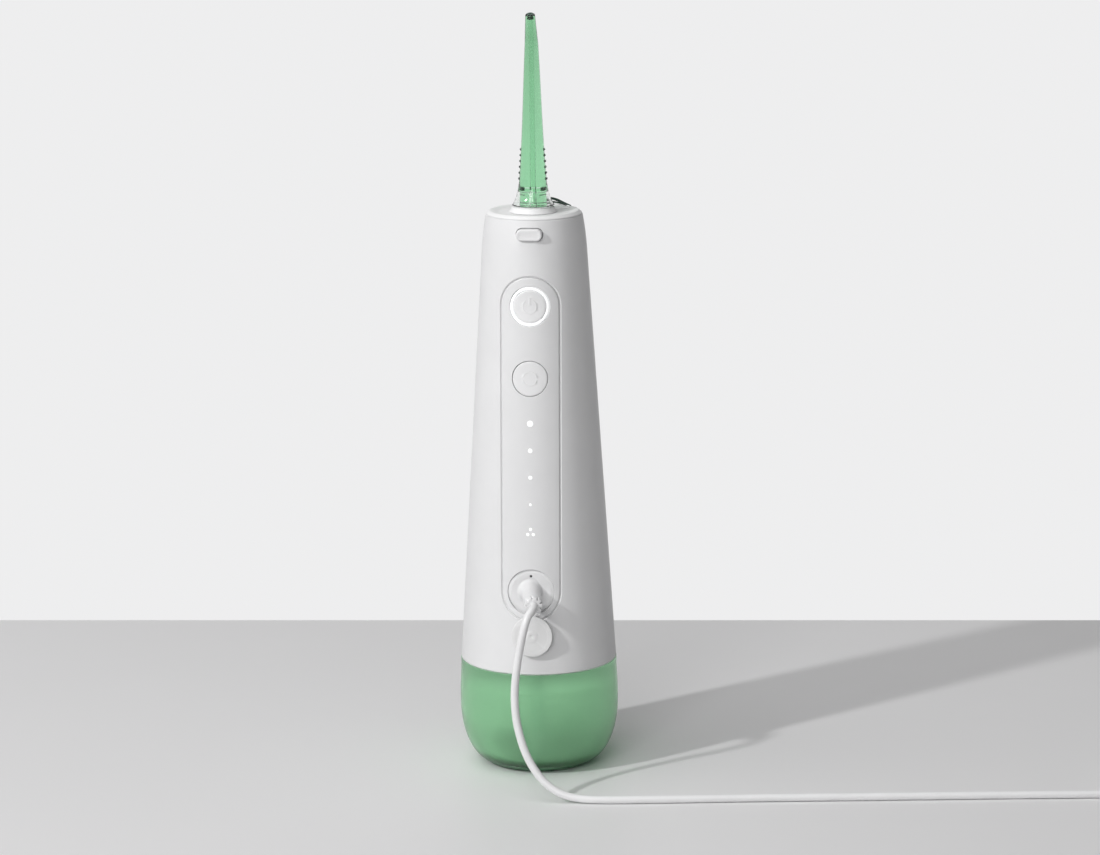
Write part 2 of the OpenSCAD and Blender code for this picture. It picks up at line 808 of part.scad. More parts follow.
// Outline of a gear with a tooth centred on +X, its tooth tips and roots set from its pitch
module gear_outline(teeth, tip, root, backlash) {
  pitch_r = tooth * teeth / 2;
  base_r = pitch_r * cos(pressure);
  half = 90 / teeth - backlash / pitch_r * 90 / PI + flank_angle(base_r, pitch_r);
  radii = [for (k = [0 : 4]) max(base_r, pitch_r - root) * (4 - k) / 4 + (pitch_r + tip) * k / 4];
  polygon([
    for (i = [0 : teeth - 1]) each concat(
      [polar(pitch_r - root, 360 * i / teeth - half)],
      [for (r = radii) polar(r, 360 * i / teeth - half + flank_angle(base_r, r))],
      [for (r = reversed(radii)) polar(r, 360 * i / teeth + half - flank_angle(base_r, r))],
      [polar(pitch_r - root, 360 * i / teeth + half)]
    )
  ]);
}

module pinion() {
  color("gold") extrude_y(gear_back, gear_front) translate([0, motor_z]) difference() {
    rotate(180 / pinion_teeth - 90) gear_outline(pinion_teeth, tooth, 1.25 * tooth, 0.1);
    circle(r = shaft_r + 0.01);
  }
}

eccentric_r = 4;
eccentric_front = gear_front - 3.2;

module crank_gear() {
  color("white") difference() {
    union() {
      extrude_y(gear_back, gear_front) translate([0, gear_z])
        rotate(90) gear_outline(gear_teeth, 0.75 * tooth, 1.25 * tooth, 0.1);
      rod_y(eccentric_r, gear_front + 0.5, eccentric_front, z = gear_z - throw);
    }
    rod_y(axle_r + run, 0, eccentric_front - 1, z = gear_z);
  }
}

module gear_axle() {
  color("silver") {
    rod_y(axle_r, 0, eccentric_front - 1.2, z = gear_z);
    rod_y(2, 0.8, 0, z = gear_z);
  }
}

module axle_clip() {
  color("dimgray") difference() {
    rod_y(2.1, eccentric_front - seat, eccentric_front - seat - 0.5, z = gear_z);
    rod_y(axle_r + 0.01, 0, eccentric_front - 3, z = gear_z);
  }
}

// ---- Connecting rod and pump ----------------------------------------------------------------------

pump_half = 5;
flange_half = 9;
pump_screw_x = 7.2;

rod_half = 1.3;
wrist_z = gear_z - 27.6;
wrist_r = 1;
slot_h = 2 * throw + wrist_r + seat;
slot_w = throw + wrist_r + seat;
frame_w = 1.4;
piston_top = wrist_z - 11;
piston_r = bore_r - 0.06;
cylinder_top = wrist_z - 10;
head_top = cylinder_top - cylinder_l;
head_low = head_top - 10;
cylinder_r = bore_r + 1.2;
cylinder_port_r = 1.2;
flange_t = 2.5;

module connecting_rod() {
  big_z = gear_z - throw;
  color("whitesmoke") extrude_y(pump_y + rod_half, pump_y - rod_half) difference() {
    union() {
      translate([0, big_z]) circle(r = eccentric_r + 2);
      translate([-1.6, wrist_z + slot_h]) square([3.2, big_z - wrist_z - slot_h - eccentric_r]);
      translate([-slot_w - frame_w, wrist_z - slot_h - frame_w])
        square([2 * (slot_w + frame_w), 2 * (slot_h + frame_w)]);
    }
    translate([0, big_z]) circle(r = eccentric_r + run);
    translate([-slot_w, wrist_z - slot_h]) square([2 * slot_w, 2 * slot_h]);
  }
}

seal_groove_z = piston_top - 6.4;
piston_ring = 0.7;
piston_ring_r = bore_r - 0.02 - piston_ring;

module piston() {
  color("whitesmoke") translate([0, pump_y, 0]) difference() {
    union() {
      rod_z(piston_r, piston_top - 8, piston_top);
      for (s = [-1, 1]) translate([0, s * (rod_half + seat + 0.75), 0])
        block([-2.2, -0.75, piston_top - 1], [2.2, 0.75, wrist_z + 2.2]);
    }
    rod_y(wrist_r + 0.01, 10, -10, z = wrist_z);
    difference() {
      rod_z(piston_r + 1, seal_groove_z - piston_ring - run, seal_groove_z + piston_ring + run);
      rod_z(piston_ring_r - piston_ring - 0.02, seal_groove_z - 3, seal_groove_z + 3);
    }
  }
}

module piston_seal() {
  color("black") translate([0, pump_y, seal_groove_z]) torus(piston_ring_r, piston_ring);
}

module wrist_pin() {
  reach = rod_half + seat + 1.5;
  color("silver") rod_y(wrist_r, pump_y + reach, pump_y - reach, z = wrist_z);
}

module pump_cylinder() {
  color([0.8, 0.85, 0.9, 0.7]) difference() {
    union() {
      rod_z(cylinder_r, head_top, cylinder_top, y = pump_y);
      block([-flange_half, pump_y - pump_half, head_top],
        [flange_half, -spine_t, head_top + flange_t]);
    }
    rod_z(bore_r, head_top + flange_t, cylinder_top + 1, y = pump_y);
    rod_z(cylinder_port_r, head_top - 1, head_top + flange_t + 1, y = pump_y);
    for (s = [-1, 1]) rod_z(0.8, head_top - 1, head_top + 5, x = s * pump_screw_x, y = pump_y);
  }
}

ball_r = 1.6;
port_hole_r = 1.2;
ball_rise = sqrt(ball_r * ball_r - port_hole_r * port_hole_r) + run;
inlet_seat_z = head_low + 3;
outlet_seat_z = head_low + 4.4;
inlet_cage_r = 2.4;
outlet_cage_r = 2;
outlet_roof = head_top - 0.8;

module pump_head() {
  color("gainsboro") difference() {
    union() {
      block([outlet_x - 3.4, pump_y - pump_half, head_low], [flange_half, -spine_t, head_top]);
      rod_z(nipple_r, head_low - 5, head_low + 1, y = pump_y);
      rod_z(nipple_r, head_top - 1, head_top + 5, x = outlet_x, y = outlet_y);
    }
    rod_z(channel_r, head_low - 6, head_low + 1.5, y = pump_y);
    rod_z(port_hole_r, head_low + 1, inlet_seat_z + 1, y = pump_y);
    rod_z(inlet_cage_r, inlet_seat_z, head_top + 1, y = pump_y);
    rod_z(port_hole_r, outlet_seat_z - 2.4, outlet_seat_z + 1, x = outlet_x, y = outlet_y);
    rod_z(outlet_cage_r, outlet_seat_z, outlet_roof, x = outlet_x, y = outlet_y);
    rod_z(channel_r, outlet_seat_z, head_top + 6, x = outlet_x, y = outlet_y);
    translate([-1.6, (pump_y + outlet_y) / 2, outlet_seat_z - 1.2]) rotate([0, -90, 0])
      cylinder(r = 0.8, h = -outlet_x - 1.6);
    for (s = [-1, 1]) rod_z(0.75, head_top - 6, head_top + 1, x = s * pump_screw_x, y = pump_y);
  }
}

module pump_screws() {
  color("silver") for (s = [-1, 1]) {
    rod_z(0.7, head_top - 5, head_top + flange_t, x = s * pump_screw_x, y = pump_y);
    rod_z(1.3, head_top + flange_t, head_top + flange_t + 1, x = s * pump_screw_x, y = pump_y);
  }
}

module inlet_ball() {
  color("silver") translate([0, pump_y, inlet_seat_z + ball_rise]) sphere(r = ball_r);
}

module outlet_ball() {
  color("silver") translate([outlet_x, outlet_y, outlet_seat_z + ball_rise])
    sphere(r = ball_r);
}

module inlet_spring() {
  low = inlet_seat_z + ball_rise + ball_r + run;
  color("silver") translate([0, pump_y, low]) coil_spring(1.7, 0.15, head_top - low - run, 3);
}

module outlet_spring() {
  low = outlet_seat_z + ball_rise + ball_r + run;
  color("silver") translate([outlet_x, outlet_y, low])
    coil_spring(1.5, 0.12, outlet_roof - low - run, 2);
}

module inlet_hose() {
  color([0.9, 0.9, 0.9, 0.7]) difference() {
    rod_z(hose_r, bulkhead_top + seat, head_low - seat, y = pump_y);
    rod_z(hose_bore_r, bulkhead_top, head_low, y = pump_y);
  }
}

// The path of the outlet hose, up the handle and across to the nozzle's socket
module outlet_run(r, past) {
  low = head_top + seat - past;
  rod_z(r, low, nipple_z, x = outlet_x, y = outlet_y);
  translate([outlet_x, outlet_y, nipple_z]) sphere(r = r);
  translate([outlet_x, outlet_y, nipple_z]) rotate([0, 90, 0])
    cylinder(r = r, h = -outlet_x - 6 + past);
}

module outlet_hose() {
  color([0.9, 0.9, 0.9, 0.7]) difference() {
    outlet_run(hose_r, 0);
    outlet_run(hose_bore_r, 0.5);
  }
}

// ---- Charging lead --------------------------------------------------------------------------------

plug_r = port_r - 0.6;
plug_back = recess_y - seat;
plug_face = port_front - 0.9;
relief_start = [0, plug_face + 1.2, port_z];
relief_end = [2.6, port_front - 15.15, port_z - 1.1];
relief_run = relief_end - relief_start;
relief_l = norm(relief_run);
relief_end_r = 2.7;
coil_w = 2 * cable_r * coil_across;
coil_h = 2 * cable_r * coil_layers;
coil_centre = [241, -15, coil_h / 2 + 0.5];

// The cable's route from the plug down to the table and along it, then the tail at the coil
route = [
  [2.6, -43, 71.7], [2.7, -44.6, 71.5], [2.2, -46.9, 70.7], [1, -48.7, 69.1],
  [0.1, -49.8, 66.6], [-0.8, -50.5, 63],
  [-2.2, -50.8, 56], [-3.4, -51.2, 48], [-4, -51.6, 40], [-3.6, -52.4, 32], [-2.2, -53.4, 25],
  [0.2, -54.6, 18], [3.6, -55.8, 12], [8, -56.8, 7], [14, -57.6, 3.4], [21, -57.9, 1.9],
  [30, -57.8, 1.6], [46, -56.3, 1.6], [65, -54.2, 1.6], [84, -52, 1.6], [102, -50.1, 1.6],
  [121, -48.2, 1.6], [139, -46.3, 1.6], [158, -44.4, 1.6], [176, -42.5, 1.6],
  [195, -40.7, 1.6], [213, -38.9, 1.6], [231, -37, 1.9]
];
tail = [[262, -3.3, 4.4], [262, 1, 4.2], [262, 6, 4.2]];
grip_x = 262;
grip_y = 6;
grip_l = 20;
grip_w = 15;
grip_h = 8;
grip_corner = 2;
shell_l = 12;
usb_w = 12;
usb_h = 4.5;
usb_z = 4.2;

module charge_plug() {
  color("white") difference() {
    union() {
      rod_y(plug_r, plug_back, plug_face + 0.5, z = port_z);
      rod_y(plug_r - 0.4, plug_back, plug_face, z = port_z);
      rod_y(barrel_r, plug_back + barrel_l, plug_back - 1, z = port_z);
    }
    for (s = [-1, 1])
      rod_y(pin_r + gap, plug_back + barrel_l + 1, plug_back + 1.2, x = s * pin_x, z = port_z);
    rod_y(0.35, plug_face + 0.5, plug_face - 1, z = port_z + plug_r - 2.3);
  }
}

module plug_relief() {
  color("white") difference() {
    translate(relief_start)
      rotate([0, acos(relief_run.z / relief_l), atan2(relief_run.y, relief_run.x)])
      rotate_extrude() polygon([
        [0, 0], [6.6, 0], [5.4, 1.8], [4.1, 3.8], [3.4, 6.6], [3, 9.6],
        [relief_end_r, relief_l - 0.6], [relief_end_r - 0.6, relief_l], [0, relief_l]
      ]);
    block([-10, plug_face, port_z - 10], [10, plug_back, port_z + 10]);
  }
}

module charge_cable() {
  color("white") {
    sweep(smooth(route, 3), cable_r);
    sweep(smooth(tail, 3), cable_r);
  }
}

// The bundle of turns, as one ring of rounded section, made larger by a distance
module coil_ring(extra) {
  w = coil_w + 2 * extra;
  h = coil_h + 2 * extra;
  translate(coil_centre) rotate_extrude() translate([coil_r, 0]) {
    square([w, h - 2 * cable_r], center = true);
    square([w - 2 * cable_r, h], center = true);
    for (x = [-1, 1], z = [-1, 1])
      translate([x * (w / 2 - cable_r), z * (h / 2 - cable_r)]) circle(r = cable_r);
  }
}

module cable_coil() {
  color("white") coil_ring(0);
}

tie_t = 0.45;
tie_w = 6;

module coil_tie() {
  reach = [coil_w / 2 + 1, tie_w / 2, coil_h / 2 + 1];
  middle = coil_centre - [coil_r, 0, 0];
  color("dimgray") difference() {
    intersection() {
      coil_ring(tie_t);
      block(middle - reach, middle + reach);
    }
    coil_ring(0.02);
  }
}

module usb_grip() {
  color("white") difference() {
    translate([grip_x, 0, grip_h / 2]) extrude_y(grip_y + grip_l, grip_y) {
      square([grip_w, grip_h - 2 * grip_corner], center = true);
      square([grip_w - 2 * grip_corner, grip_h], center = true);
      for (x = [-1, 1], z = [-1, 1])
        translate([x * (grip_w / 2 - grip_corner), z * (grip_h / 2 - grip_corner)])
        circle(r = grip_corner);
    }
    block([grip_x - usb_w / 2 - 0.02, grip_y + grip_l - 4, usb_z - usb_h / 2 - 0.02],
      [grip_x + usb_w / 2 + 0.02, grip_y + grip_l + 1, usb_z + usb_h / 2 + 0.02]);
  }
}

module usb_shell() {
  y0 = grip_y + grip_l - 4;
  color("silver") difference() {
    block([grip_x - usb_w / 2, y0, usb_z - usb_h / 2],
      [grip_x + usb_w / 2, y0 + 4 + shell_l, usb_z + usb_h / 2]);
    block([grip_x - usb_w / 2 + 0.35, y0 + 1, usb_z - usb_h / 2 + 0.35],
      [grip_x + usb_w / 2 - 0.35, y0 + 5 + shell_l, usb_z + usb_h / 2 - 0.35]);
  }
}

module usb_tongue() {
  y0 = grip_y + grip_l - 3;
  color("whitesmoke") block([grip_x - usb_w / 2 + 0.35, y0, usb_z - usb_h / 2 + 0.35],
    [grip_x + usb_w / 2 - 0.35, y0 + 2 + shell_l, usb_z - usb_h / 2 + 2.2]);
}

tank_shell();
outer_housing();
control_panel();
top_cap();
chassis();
bulkhead();
tank_seal();
housing_screws();
battery_cell();
circuit_board();
tact_switches();
indicator_leds();
light_guide();
power_light_ring();
power_button();
mode_button();
charge_socket();
charge_pins();
port_cover();
cover_anchor();
release_button();
release_latch();
release_spring();
nozzle_socket();
nozzle_dial();
nozzle();
nozzle_seal();
jet_tip();
motor_can();
motor_end_cap();
motor_screws();
motor_armature();
pinion();
crank_gear();
gear_axle();
axle_clip();
connecting_rod();
piston();
piston_seal();
wrist_pin();
pump_cylinder();
pump_head();
pump_screws();
inlet_ball();
outlet_ball();
inlet_spring();
outlet_spring();
inlet_hose();
outlet_hose();
suction_tube();
inlet_filter();
charge_plug();
plug_relief();
charge_cable();
cable_coil();
coil_tie();
usb_grip();
usb_shell();
usb_tongue();
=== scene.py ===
"""Looks of the cordless water flosser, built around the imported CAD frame. Lengths are in
millimetres until mesh_piece() scales them; the axes are the CAD's: front -Y, up +Z."""

import json
import math

import bmesh
import bpy
import numpy as np
from mathutils import Matrix, Vector
from mathutils.geometry import delaunay_2d_cdt


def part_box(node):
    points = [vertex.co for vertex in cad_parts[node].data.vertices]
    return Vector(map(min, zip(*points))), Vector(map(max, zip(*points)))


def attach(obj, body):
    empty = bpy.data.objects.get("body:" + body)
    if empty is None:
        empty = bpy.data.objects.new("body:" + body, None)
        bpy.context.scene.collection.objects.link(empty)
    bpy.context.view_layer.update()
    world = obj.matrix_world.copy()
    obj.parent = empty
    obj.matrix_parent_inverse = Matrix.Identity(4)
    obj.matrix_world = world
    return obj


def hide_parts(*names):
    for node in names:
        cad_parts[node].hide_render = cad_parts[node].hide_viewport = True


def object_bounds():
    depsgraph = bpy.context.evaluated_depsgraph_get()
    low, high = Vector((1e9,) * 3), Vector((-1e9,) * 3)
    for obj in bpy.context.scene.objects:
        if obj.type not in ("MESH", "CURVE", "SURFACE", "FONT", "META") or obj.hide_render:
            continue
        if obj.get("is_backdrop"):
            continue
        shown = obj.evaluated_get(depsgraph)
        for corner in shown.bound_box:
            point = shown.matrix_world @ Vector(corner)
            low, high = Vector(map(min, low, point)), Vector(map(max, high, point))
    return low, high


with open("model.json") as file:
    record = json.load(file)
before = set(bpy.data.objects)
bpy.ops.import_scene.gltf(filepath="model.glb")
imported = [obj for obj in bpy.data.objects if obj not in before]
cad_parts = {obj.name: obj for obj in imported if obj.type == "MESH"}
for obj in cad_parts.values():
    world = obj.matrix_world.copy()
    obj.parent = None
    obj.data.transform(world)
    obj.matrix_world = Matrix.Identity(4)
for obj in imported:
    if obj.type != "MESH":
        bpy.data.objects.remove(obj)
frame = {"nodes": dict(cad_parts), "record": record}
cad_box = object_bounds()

MM = 0.001
TAU = 2 * math.pi
V = lambda *p: np.array(p, float)
mid = lambda ring: np.mean(np.array(ring, float), axis=0)
X = V(1, 0, 0)


def unit(v):
    v = np.asarray(v, float)
    return v / np.linalg.norm(v)


def spokes(n):
    """Cosine and sine of n even steps round a circle."""
    return [(math.cos(TAU * k / n), math.sin(TAU * k / n)) for k in range(n)]


def box_mm(node):
    """Lowest corner, highest corner, middle and half size of a CAD node, in millimetres."""
    low, high = (np.array(corner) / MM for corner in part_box(node))
    return low, high, (low + high) / 2, (high - low) / 2


def new_object(name, data):
    obj = bpy.data.objects.new(name, data)
    bpy.context.scene.collection.objects.link(obj)
    return obj


# ---- Camera

CAMERA_TURN, CAMERA_RISE, CAMERA_ROLL = (math.radians(a) for a in (5.580, 78.110, -0.580))
camera = new_object("camera", bpy.data.cameras.new("camera"))
camera.matrix_world = (Matrix.Translation((0.13602, -1.33911, 0.414))
                       @ Matrix.Rotation(CAMERA_TURN, 4, "Z")
                       @ Matrix.Rotation(CAMERA_RISE, 4, "X")
                       @ Matrix.Rotation(CAMERA_ROLL, 4, "Z"))
camera.data.sensor_width = 36
camera.data.lens = 118.11
camera.data.clip_start, camera.data.clip_end = 0.05, 60
bpy.context.scene.camera = camera
bpy.context.scene.view_settings.view_transform = "Standard"

# ---- Materials


def link(tree, a, b):
    tree.links.new(a, b)


def add(tree, kind, **values):
    """A node with its sockets set by name, or its properties where no socket has that name."""
    n = tree.nodes.new(kind)
    for key, value in values.items():
        name = key.replace("_", " ")
        found = [s for s in n.inputs if s.name.lower() == name.lower() and s.enabled]
        if found:
            found[0].default_value = value
        else:
            setattr(n, key, value)
    return n


def ramp(tree, source, low, high, a, b):
    """source from low..high mapped onto a..b, clamped."""
    n = add(tree, "ShaderNodeMapRange", clamp=True)
    link(tree, source, n.inputs["Value"])
    for name, value in (("From Min", low), ("From Max", high), ("To Min", a), ("To Max", b)):
        n.inputs[name].default_value = value
    return n.outputs["Result"]


def mix_colour(tree, factor, a, b, **settings):
    """A mix of two colours or sockets, by a socket or a number."""
    n = tree.nodes.new("ShaderNodeMix")
    n.data_type = "RGBA"
    for key, value in settings.items():
        setattr(n, key, value)
    for socket, value in ((n.inputs[0], factor), (n.inputs[6], a), (n.inputs[7], b)):
        if isinstance(value, (tuple, float)):
            socket.default_value = (*value, 1) if isinstance(value, tuple) else value
        else:
            link(tree, value, socket)
    return n.outputs[2]


def tint(colour, k):
    return tuple(min(1.0, c * k) for c in colour)


def material(name, colour, rough, vary=0.03, patch=90, grain=4200, bump=0.012, spread=0.06,
             wear=0.05, metal=0.0, bands=(), **sockets):
    """A moulded or turned finish: slow colour patches, fine grain in the roughness and the bump,
    and edges that have been rubbed a little lighter and smoother. The bands [(z in mm, shade)] are
    painted shade by height: the colour is multiplied by a shade that changes with height."""
    mat = bpy.data.materials.new(name)
    mat.use_nodes = True
    t = mat.node_tree
    shader = t.nodes["Principled BSDF"]
    coords = t.nodes.new("ShaderNodeTexCoord").outputs["Object"]
    slow = add(t, "ShaderNodeTexNoise", scale=patch, detail=3.0, roughness=0.55)
    fine = add(t, "ShaderNodeTexNoise", scale=grain, detail=2.0, roughness=0.6)
    smear = add(t, "ShaderNodeTexNoise", scale=patch * 4.5, detail=4.0, roughness=0.62)
    for n in (slow, fine, smear):
        link(t, coords, n.inputs["Vector"])
    slow, fine, smear = (n.outputs["Fac"] for n in (slow, fine, smear))
    body = mix_colour(t, ramp(t, slow, 0.3, 0.7, 0, 1), tint(colour, 1 - vary),
                      tint(colour, 1 + vary))
    # Painted shade by height: the colour is multiplied by a ramp of shades up the object's height
    if bands:
        height = t.nodes.new("ShaderNodeSeparateXYZ")
        link(t, coords, height.inputs[0])
        top = bands[-1][0]
        shades = t.nodes.new("ShaderNodeValToRGB")
        link(t, ramp(t, height.outputs["Z"], 0, top * MM, 0, 1), shades.inputs["Fac"])
        stops = shades.color_ramp.elements
        for stop, (z, k) in zip([*stops, *(stops.new(0.5) for _ in bands[2:])],
                                [bands[0], bands[-1], *bands[1:-1]]):
            stop.position, stop.color = z / top, (k, k, k, 1)
        body = mix_colour(t, 1.0, body, shades.outputs["Color"], blend_type="MULTIPLY")
    edge = ramp(t, t.nodes.new("ShaderNodeNewGeometry").outputs["Pointiness"], 0.53, 0.62, 0, 1)
    rubbed = add(t, "ShaderNodeMath", operation="MULTIPLY")
    link(t, edge, rubbed.inputs[0])
    link(t, ramp(t, smear, 0.35, 0.65, 0.2, 1), rubbed.inputs[1])
    link(t, mix_colour(t, rubbed.outputs[0], body, tint(colour, 1 + wear)),
         shader.inputs["Base Color"])
    grit = add(t, "ShaderNodeMath", operation="ADD")
    link(t, ramp(t, smear, 0.25, 0.75, rough - spread / 2, rough + spread / 2), grit.inputs[0])
    link(t, ramp(t, fine, 0.3, 0.7, -spread / 3, spread / 3), grit.inputs[1])
    polish = add(t, "ShaderNodeMath", operation="MULTIPLY_ADD", use_clamp=True)
    link(t, rubbed.outputs[0], polish.inputs[0])
    polish.inputs[1].default_value = -spread
    link(t, grit.outputs[0], polish.inputs[2])
    link(t, polish.outputs[0], shader.inputs["Roughness"])
    relief = add(t, "ShaderNodeBump", strength=0.5, distance=bump * MM)
    link(t, fine, relief.inputs["Height"])
    link(t, relief.outputs["Normal"], shader.inputs["Normal"])
    shader.inputs["Metallic"].default_value = metal
    for key, value in sockets.items():
        shader.inputs[key.replace("_", " ")].default_value = value
    return mat


def clear(name, colour, rough, ior, passed=1.0, **more):
    """A see-through plastic; passed is the share of light that goes through."""
    return material(name, colour, rough, Transmission_Weight=passed, IOR=ior,
                    **{"vary": 0.01, "spread": 0.02, "bump": 0.002, "wear": 0.0, **more})


mats = {
    # The tank's bands are painted shade: darkest at the base where it meets the table, a darker
    # band 10 to 15 mm up, and darker again towards the seam
    "tank": clear("tank_clear_green", (0.39, 0.775, 0.455), 0.34, 1.22, 0.97, Coat_Weight=0.45,
                  Coat_Roughness=0.04, Coat_IOR=1.4,
                  bands=((0, 0.4), (2.5, 0.8), (6, 1.0), (10, 0.93), (15, 0.92), (20, 1.0),
                         (24, 1.02), (33, 1.02), (36.5, 0.88), (40, 0.8), (42, 0.8))),
    # A much darker green for the tank's lowest 2.2 mm, painted contact shade where it meets the
    # table; its bands darken it most at the very bottom
    "tank_foot": clear("tank_foot_painted_contact_shade", (0.10, 0.27, 0.14), 0.3, 1.3, 0.25,
                       bands=((0, 0.45), (1.2, 0.75), (2.4, 1.5))),
    "tank_inside": clear("tank_clear_inside", (0.93, 0.98, 0.94), 0.42, 1.38, 0.72, spread=0.04,
                         bump=0.004),
    # The nozzle's bands paint shade by height: a little lighter low on the stem and darker towards
    # the tip
    "nozzle_clear": clear("nozzle_clear_green", (0.32, 0.70, 0.40), 0.05, 1.49, vary=0.02,
                          spread=0.03, bump=0.003, wear=0.1,
                          bands=((210, 1.05), (232, 1.05), (262, 0.92), (280, 0.82),
                                 (290, 0.82))),
    "nozzle_inside": clear("nozzle_clear_inside", (0.95, 0.98, 0.96), 0.03, 1.49),
    "nozzle_bore": clear("nozzle_clear_bore", (0.82, 0.93, 0.86), 0.06, 1.49, vary=0.02),
    # A lighter copy of the housing white, painted light: the cap's upward faces and the dial wear
    # it to look lit from overhead
    "painted_light_white": material("cap_top_painted_light", (0.86, 0.86, 0.863), 0.42, vary=0.012, bump=0.010),
    "jet_insert": material("jet_dark_green", (0.012, 0.05, 0.03), 0.3),
    "housing_white": material("housing_satin", (0.75, 0.75, 0.755), 0.42, vary=0.012, bump=0.010),
    "panel_white": material("panel_satin", (0.735, 0.735, 0.74), 0.38, vary=0.010, bump=0.008),
    "button_white": material("button_satin", (0.785, 0.785, 0.79), 0.34, vary=0.010, bump=0.006),
    "ring_light": material("lit_diffuser", (0.86, 0.87, 0.88), 0.3, vary=0.01,
                           Emission_Color=(1, 1, 1, 1), Emission_Strength=0.35),
    "cover_rubber": material("cover_silicone", (0.765, 0.765, 0.765), 0.5, vary=0.02, bump=0.02,
                             grain=2600, Sheen_Weight=0.15, Sheen_Roughness=0.4),
    "structure": material("inner_plastic", (0.62, 0.63, 0.64), 0.45, bump=0.02),
    "clear_pipe": material("clear_pipe", (0.86, 0.92, 0.90), 0.12, spread=0.05, bump=0.004,
                           Transmission_Weight=0.85, IOR=1.45),
    "acetal": material("acetal", (0.72, 0.71, 0.68), 0.33, bump=0.015),
    "seal_rubber": material("seal_rubber", (0.05, 0.05, 0.052), 0.6, bump=0.03, wear=0.6),
    "steel": material("steel", (0.56, 0.56, 0.57), 0.28, metal=1.0, spread=0.12, bump=0.01,
                      wear=0.25),
    "brass": material("brass", (0.72, 0.52, 0.24), 0.26, metal=1.0, spread=0.12, wear=0.25),
    "cell_wrap": material("cell_wrap", (0.05, 0.16, 0.28), 0.3, vary=0.08, wear=0.3),
    "board": material("board_green", (0.015, 0.10, 0.045), 0.4, vary=0.25, patch=900, wear=0.6),
    "black_plastic": material("black_plastic", (0.028, 0.028, 0.03), 0.42, bump=0.02, wear=0.8),
    "lamp": material("lamp", (0.85, 0.82, 0.62), 0.3),
    "lead_white": material("lead_jacket", (0.80, 0.80, 0.805), 0.36, vary=0.02, bump=0.014,
                           grain=2400, Coat_Weight=0.15, Coat_Roughness=0.25),
    "plug_white": material("plug_satin", (0.775, 0.775, 0.78), 0.36, vary=0.012, bump=0.008),
    "usb_steel": material("usb_shell_steel", (0.60, 0.60, 0.61), 0.24, metal=1.0, spread=0.12,
                          wear=0.25),
    "usb_white": material("usb_tongue_white", (0.78, 0.78, 0.76), 0.4),
    "floor": material("table_pale", (0.81, 0.805, 0.81), 0.5, vary=0.012, patch=3, grain=900,
                      bump=0.01, wear=0.0, Specular_IOR_Level=0.4),
}

# ---- Mesh tools


class Shape:
    """Points in millimetres and faces, made ring by ring."""

    def __init__(self):
        self.points, self.faces, self.normals = [], [], {}

    def ring(self, points, normals=None):
        first = len(self.points)
        self.points += [np.asarray(p, float) for p in points]
        ids = list(range(first, len(self.points)))
        if normals is not None:
            self.normals.update(zip(ids, normals))
        return ids

    def flat(self, ids):
        """A ring as fill_flat() takes it: ([(x, z), ...], ids)."""
        return [(self.points[i][0], self.points[i][2]) for i in ids], ids

    def strip(self, a, b, closed=True):
        for i in range(len(a) if closed else len(a) - 1):
            j = (i + 1) % len(a)
            self.faces.append((a[i], a[j], b[j], b[i]))

    def fan(self, ring, centre):
        c = self.ring([centre])[0]
        self.faces += [(a, b, c) for a, b in zip(ring, ring[1:] + ring[:1])]

    def stack(self, rings, start=None, end=None, closed=False):
        """Joins rings of equal counts; start and end are the middle points of the end caps."""
        ids = [self.ring(r) for r in rings]
        for a, b in zip(ids, ids[1:]):
            self.strip(a, b)
        if closed:
            self.strip(ids[-1], ids[0])
        if start is not None:
            self.fan(ids[0][::-1], start)
        if end is not None:
            self.fan(ids[-1], end)
        return ids

    def loft(self, rings):
        """A stack that is closed at both ends, at the middles of its end rings."""
        return self.stack(rings, mid(rings[0]), mid(rings[-1]))

    def turned(self, profile, place=lambda x, y, h: (x, y, h), n=96, closed=False):
        """Turns [(r, h), ...] about an axis, through place(x, y, h). r = 0 closes an end."""
        start, end = (None if r else place(0, 0, h) for r, h in (profile[0], profile[-1]))
        return self.stack([[place(r * c, r * s, h) for c, s in spokes(n)] for r, h in profile if r],
                          start, end, closed)

    def tube(self, path, radius, n):
        """A round tube along a path, with flat ends."""
        rings, side = [], None
        for i, p in enumerate(path):
            d = unit(path[min(i + 1, len(path) - 1)] - path[max(i - 1, 0)])
            side = unit(np.cross(d, V(0.13, 0.09, 1)) if side is None else side - d * (side @ d))
            up = np.cross(d, side)
            rings.append([p + radius * (c * side + s * up) for c, s in spokes(n)])
        return self.stack(rings, path[0], path[-1])


def ease(t):
    t = max(0.0, min(1.0, t))
    return t * t * (3 - 2 * t)


def smooth_path(points, steps):
    """Catmull-Rom points through a list of points."""
    p = [V(*q) for q in points]
    out = []
    for i in range(len(p) - 1):
        a, b, c, d = p[max(i - 1, 0)], p[i], p[i + 1], p[min(i + 2, len(p) - 1)]
        for s in range(steps):
            t = s / steps
            out.append(0.5 * (2 * b + (c - a) * t + (2 * a - 5 * b + 4 * c - d) * t * t
                              + (3 * b - a - 3 * c + d) * t ** 3))
    return out + [p[-1]]


